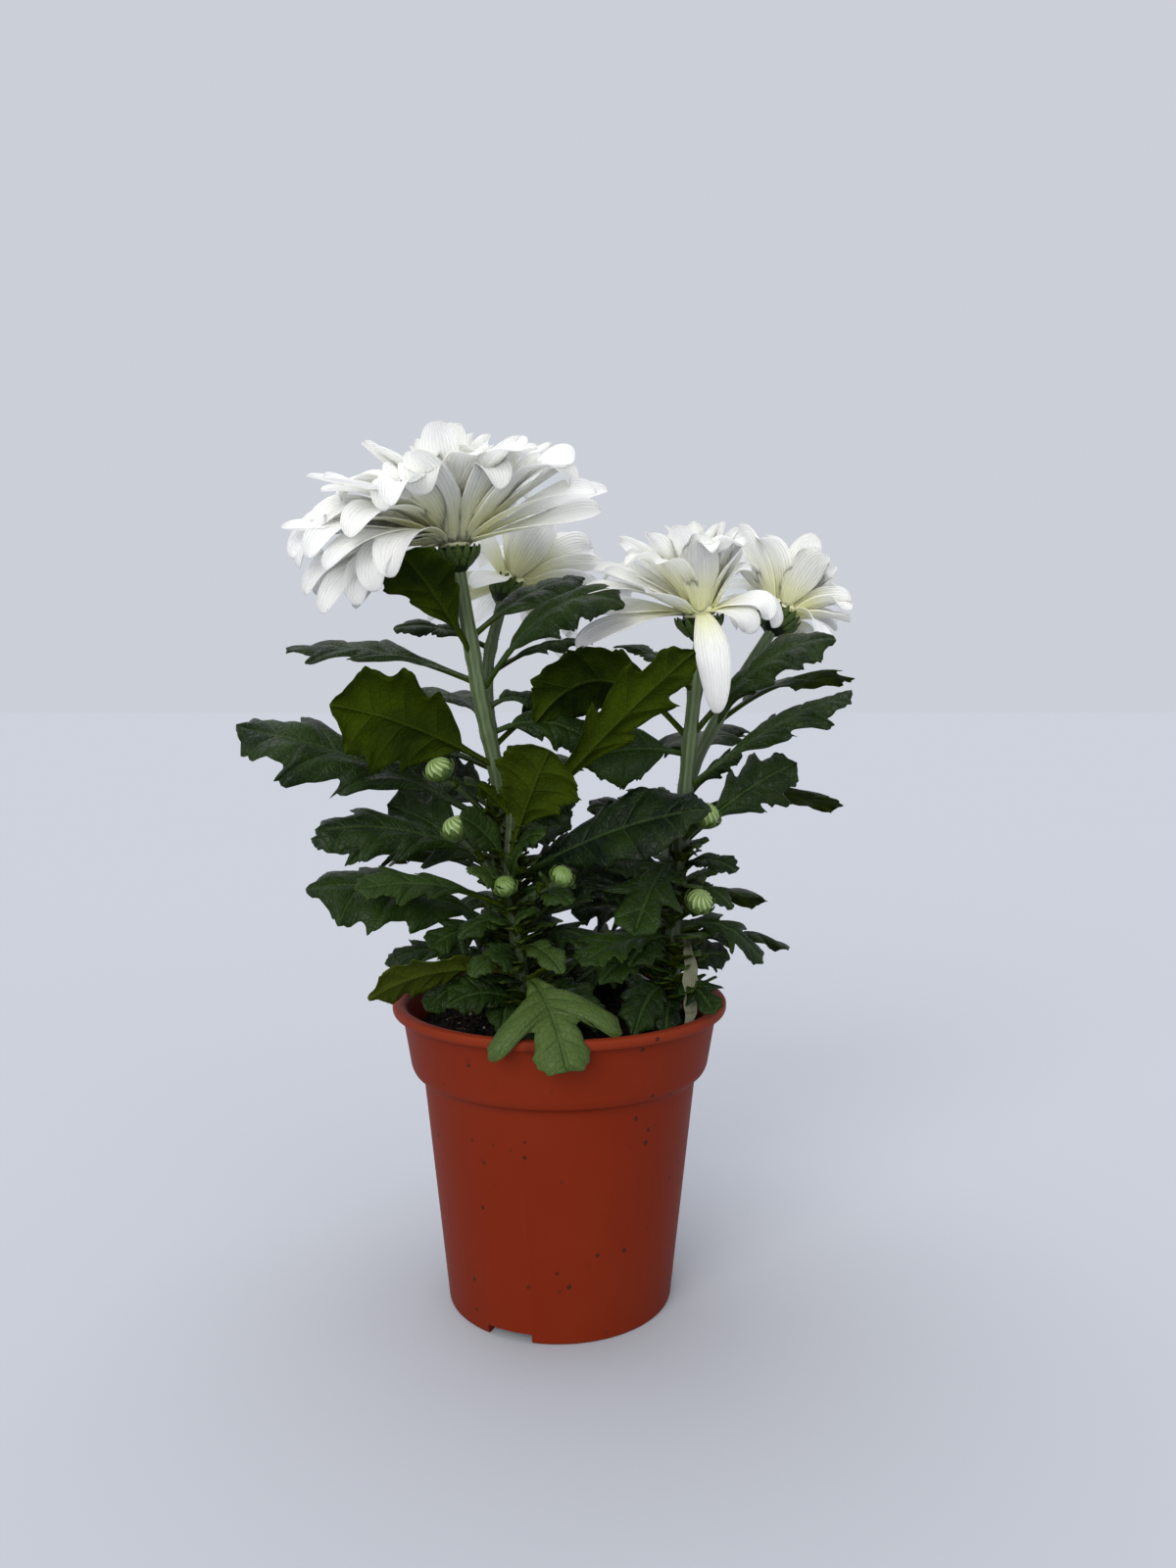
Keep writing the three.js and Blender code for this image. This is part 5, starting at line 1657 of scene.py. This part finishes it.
@dataclass
class PottingSoil:
    """The soil: a lumpy crumbly block that fills the pot, with loose crumbs, fibres and pale grains on top.
    It is `height` high in the middle, and sinks at the brim. Crumbs and grains are strewn over a disc."""

    height: float = 99.0
    sink: float = 2.5
    crumbs: int = 900
    grains: int = 90
    fibres: int = 130
    brim: float = 52.6
    strewn: float = 51.5

    def top(self, x: Array, y: Array) -> Array:
        """The height of the soil: a dome, height - sink * (r / 53)^4, with lumps in three sizes.

        Args:
            x: the places across, in mm.
            y: the places from front to back, in mm.

        Returns:
            One height for each place.
        """
        out = np.minimum(np.hypot(x, y) / 53, 1)
        flat = np.stack((x, y, 0 * x), -1)
        lumps = 1.1 * (np.sin(x * 0.31 + 1) * np.cos(y * 0.27) + 0.6 * np.sin(x * 0.13 + y * 0.5))
        dome = self.height - self.sink * out**4 + lumps
        return dome + 0.8 * ripples(flat, 3.2, 11) + 0.45 * ripples(flat, 1.4, 12)

    def build(self, finish: bpy.types.Material) -> bpy.types.Object:
        """Builds the block, from its foot up its side and in over its lumpy top.

        Args:
            finish: its material.

        Returns:
            The piece.
        """
        sides = np.array([(37.9, 2.3), (38.5, 8), (46.5, 82.3), (50.9, 86.3), (52.4, 95)])
        turn = np.linspace(0, 2 * math.pi, 240, endpoint=False)
        low = polar(turn, sides[:, :1], sides[:, 1:])
        high = polar(turn, self.brim * np.linspace(1, 0.01, 74)[:, None])
        high[..., 2] = self.top(high[..., 0], high[..., 1])
        peak = self.top(np.zeros(1), np.zeros(1))
        skin = Skin()
        skin.rings(np.concatenate((low, high)), (sides[0, 1] * UP, peak * UP), 0, {})
        return skin.build("potting_soil", [finish], "soil", "soil")

    def scatter(
        self, name: str, count: int, size: tuple[float, float], seed: int, finish: bpy.types.Material
    ) -> None:
        """Strews small rough lumps over the soil, each a jittered icosahedron.

        Args:
            name: the piece's name.
            count: how many there are.
            size: their smallest and largest radius.
            seed: which of the patterns it is.
            finish: their material.
        """
        rng = np.random.default_rng(seed)
        gold = (1 + math.sqrt(5)) / 2
        ball = [(-1, gold, 0), (1, gold, 0), (-1, -gold, 0), (1, -gold, 0), (0, -1, gold), (0, 1, gold)]
        ball += [(0, -1, -gold), (0, 1, -gold), (gold, 0, -1), (gold, 0, 1), (-gold, 0, -1), (-gold, 0, 1)]
        sides = [(0, 11, 5), (0, 5, 1), (0, 1, 7), (0, 7, 10), (0, 10, 11), (1, 5, 9), (5, 11, 4)]
        sides += [(11, 10, 2), (10, 7, 6), (7, 1, 8), (3, 9, 4), (3, 4, 2), (3, 2, 6), (3, 6, 8)]
        sides += [(3, 8, 9), (4, 9, 5), (2, 4, 11), (6, 2, 10), (8, 6, 7), (9, 8, 1)]
        radius, turn = self.strewn * np.sqrt(rng.uniform(0, 1, count)), rng.uniform(0, 2 * math.pi, count)
        x, y = radius * np.cos(turn), radius * np.sin(turn)
        spot = np.stack((x, y, self.top(x, y) + 0.15), -1)
        scale = rng.uniform(size[0], size[1], (count, 1, 1)) * rng.uniform(0.6, 1.25, (count, 1, 3))
        shape = unit(np.array(ball, float)) * rng.uniform(0.75, 1.2, (count, 12, 1))
        points = spot[:, None] + shape * scale
        fans = ((np.arange(count) * 12)[:, None, None] + np.array(sides)).reshape(-1, 3)
        skin = Skin()
        skin.add(points, np.zeros((0, 4), int), fans, 0, {})
        skin.build(name, [finish], None, "soil")

    def strew_fibres(self, finish: bpy.types.Material) -> None:
        """Lays thin bent fibres of peat and bark on the soil: four-sided needles in one piece.

        Args:
            finish: their material.
        """
        rng = np.random.default_rng(21)
        skin = Skin()
        for _ in range(self.fibres):
            radius, turn = 50 * math.sqrt(rng.uniform()), rng.uniform(0, 2 * math.pi)
            heading, length = rng.uniform(0, 2 * math.pi), rng.uniform(2, 7)
            along = np.linspace(-0.5, 0.5, 5) * length
            x = radius * math.cos(turn) + along * math.cos(heading)
            y = radius * math.sin(turn) + along * math.sin(heading)
            keep = min(1.0, 51 / np.hypot(x, y).max())
            x, y = x * keep, y * keep
            lift = 0.3 + rng.uniform(0, 0.8) * np.linspace(0, 1, 5)
            line = np.stack((x, y, self.top(x, y).max() + lift), -1)
            tube(skin, line, rng.uniform(0.1, 0.3) * np.array([0.5, 1, 1, 0.9, 0.4]), 0, sides=4)
        skin.build("peat_fibres", [finish], None, "soil")


# The studio.


@dataclass
class Studio:
    """The camera at the photograph's viewing angle, a plain pale floor and soft light."""

    place: Point = (0.0102, -0.422, 0.2136)
    down: float = 3.76
    lens: float = 27.05
    sensor: float = 36.0
    floor_half: float = 40.0

    def camera(self) -> None:
        """Makes the camera, which stands in front of the pot and looks slightly down."""
        data = bpy.data.cameras.new("camera")
        data.lens, data.sensor_width = self.lens, self.sensor
        data.clip_start, data.clip_end = 0.01, 50
        made = put("camera", data)
        made.location = self.place
        made.rotation_euler = (math.radians(90 - self.down), 0, 0)
        bpy.context.scene.camera = made

    def floor(self) -> None:
        """Makes a wide pale floor with a faint mottle."""
        mesh = bpy.data.meshes.new("floor")
        far = self.floor_half
        mesh.from_pydata([(-far, -far, 0), (far, -far, 0), (far, far, 0), (-far, far, 0)], [], [(0, 1, 2, 3)])
        paint = Paint("floor_paint")
        colour = paint.mix(paint.noise(3, 2) * 0.2, (0.44, 0.455, 0.492), (0.458, 0.477, 0.514))
        mesh.materials.append(paint.done(colour, 0.8, None, 0, Specular_IOR_Level=0.0))
        floor = put("floor", mesh)

    def lights(self) -> None:
        """Makes a pale sky and three suns as wide as windows, so their shadows are soft."""
        bpy.context.scene.view_settings.view_transform = "Standard"
        world = bpy.data.worlds.new("studio")
        bpy.context.scene.world = world
        world.use_nodes = True
        sky = world.node_tree.nodes["Background"]
        sky.inputs["Color"].default_value = (0.6, 0.625, 0.68, 1)
        sky.inputs["Strength"].default_value = 1.0
        for name, place, width, power, colour in (
            ("window", (-0.4, -1.0, 0.5), 40, 2.0, (1, 0.985, 0.95)),
            ("room", (0.3, -1.0, 0.03), 90, 1.25, (1, 0.985, 0.95)),
            ("skylight", (-0.1, 0.3, 1.0), 60, 1.5, (0.97, 0.98, 1)),
        ):
            data = bpy.data.lights.new(name, "SUN")
            data.angle, data.energy, data.color = math.radians(width), power, colour
            lamp = put(name, data)
            lamp.location = place
            lamp.rotation_mode = "QUATERNION"
            lamp.rotation_quaternion = Vector(tuple(-np.array(place))).to_track_quat("-Z", "Y")


def main() -> None:
    """Builds the studio, the pot, the soil and the plant in order."""
    logging.basicConfig(level=logging.INFO, format="%(message)s")
    studio = Studio()
    studio.camera()
    studio.floor()
    studio.lights()
    greens = [LEAF_TOP.build(), LEAF_UNDER.build(), StemFinish().build()]
    petal = PetalFinish().build()
    bud, dried, mix = BudFinish().build(), DriedFinish().build(), SoilFinish().build()
    GrowPot().build(PotFinish().build())
    soil = PottingSoil()
    soil.build(mix)
    soil.scatter("soil_crumbs", soil.crumbs, (0.5, 1.7), 31, mix)
    pale = SoilFinish("pale_grains", (0.22, 0.19, 0.15), (0.5, 0.47, 0.4), 0.9)
    soil.scatter("pale_grains", soil.grains, (0.35, 0.9), 32, pale.build())
    soil.strew_fibres(SoilFinish("peat", (0.05, 0.03, 0.018), (0.12, 0.075, 0.04), 0.9).build())
    stems = [
        LeafyStem("a", "stem_a_with_leaves", "leafy_stem_a", 24, 41),
        LeafyStem("b", "stem_b_with_leaves", "leafy_stem_b", 11, 43),
        LeafyStem("c", "stem_c_with_leaves", "leafy_stem_c", 22, 45),
        LeafyStem("d", "stem_d_with_leaves", "leafy_stem_d", 11, 47),
        LeafyStem("e", "short_side_shoot", "side_shoot_e", 30, 49),
    ]
    by_key = {green.key: green for green in stems}
    for green in stems:
        green.build(greens)
    for bloom in BLOOMS:
        BloomHead(bloom).build(petal)
    for number, (key, height, head, radius, _) in enumerate(BUDS, 1):
        BudHead(number, by_key[key].at(height), np.array(head, float), radius).build(bud, greens[0])
    PaperyLeaf().build(dried)


if __name__ == "__main__":
    main()
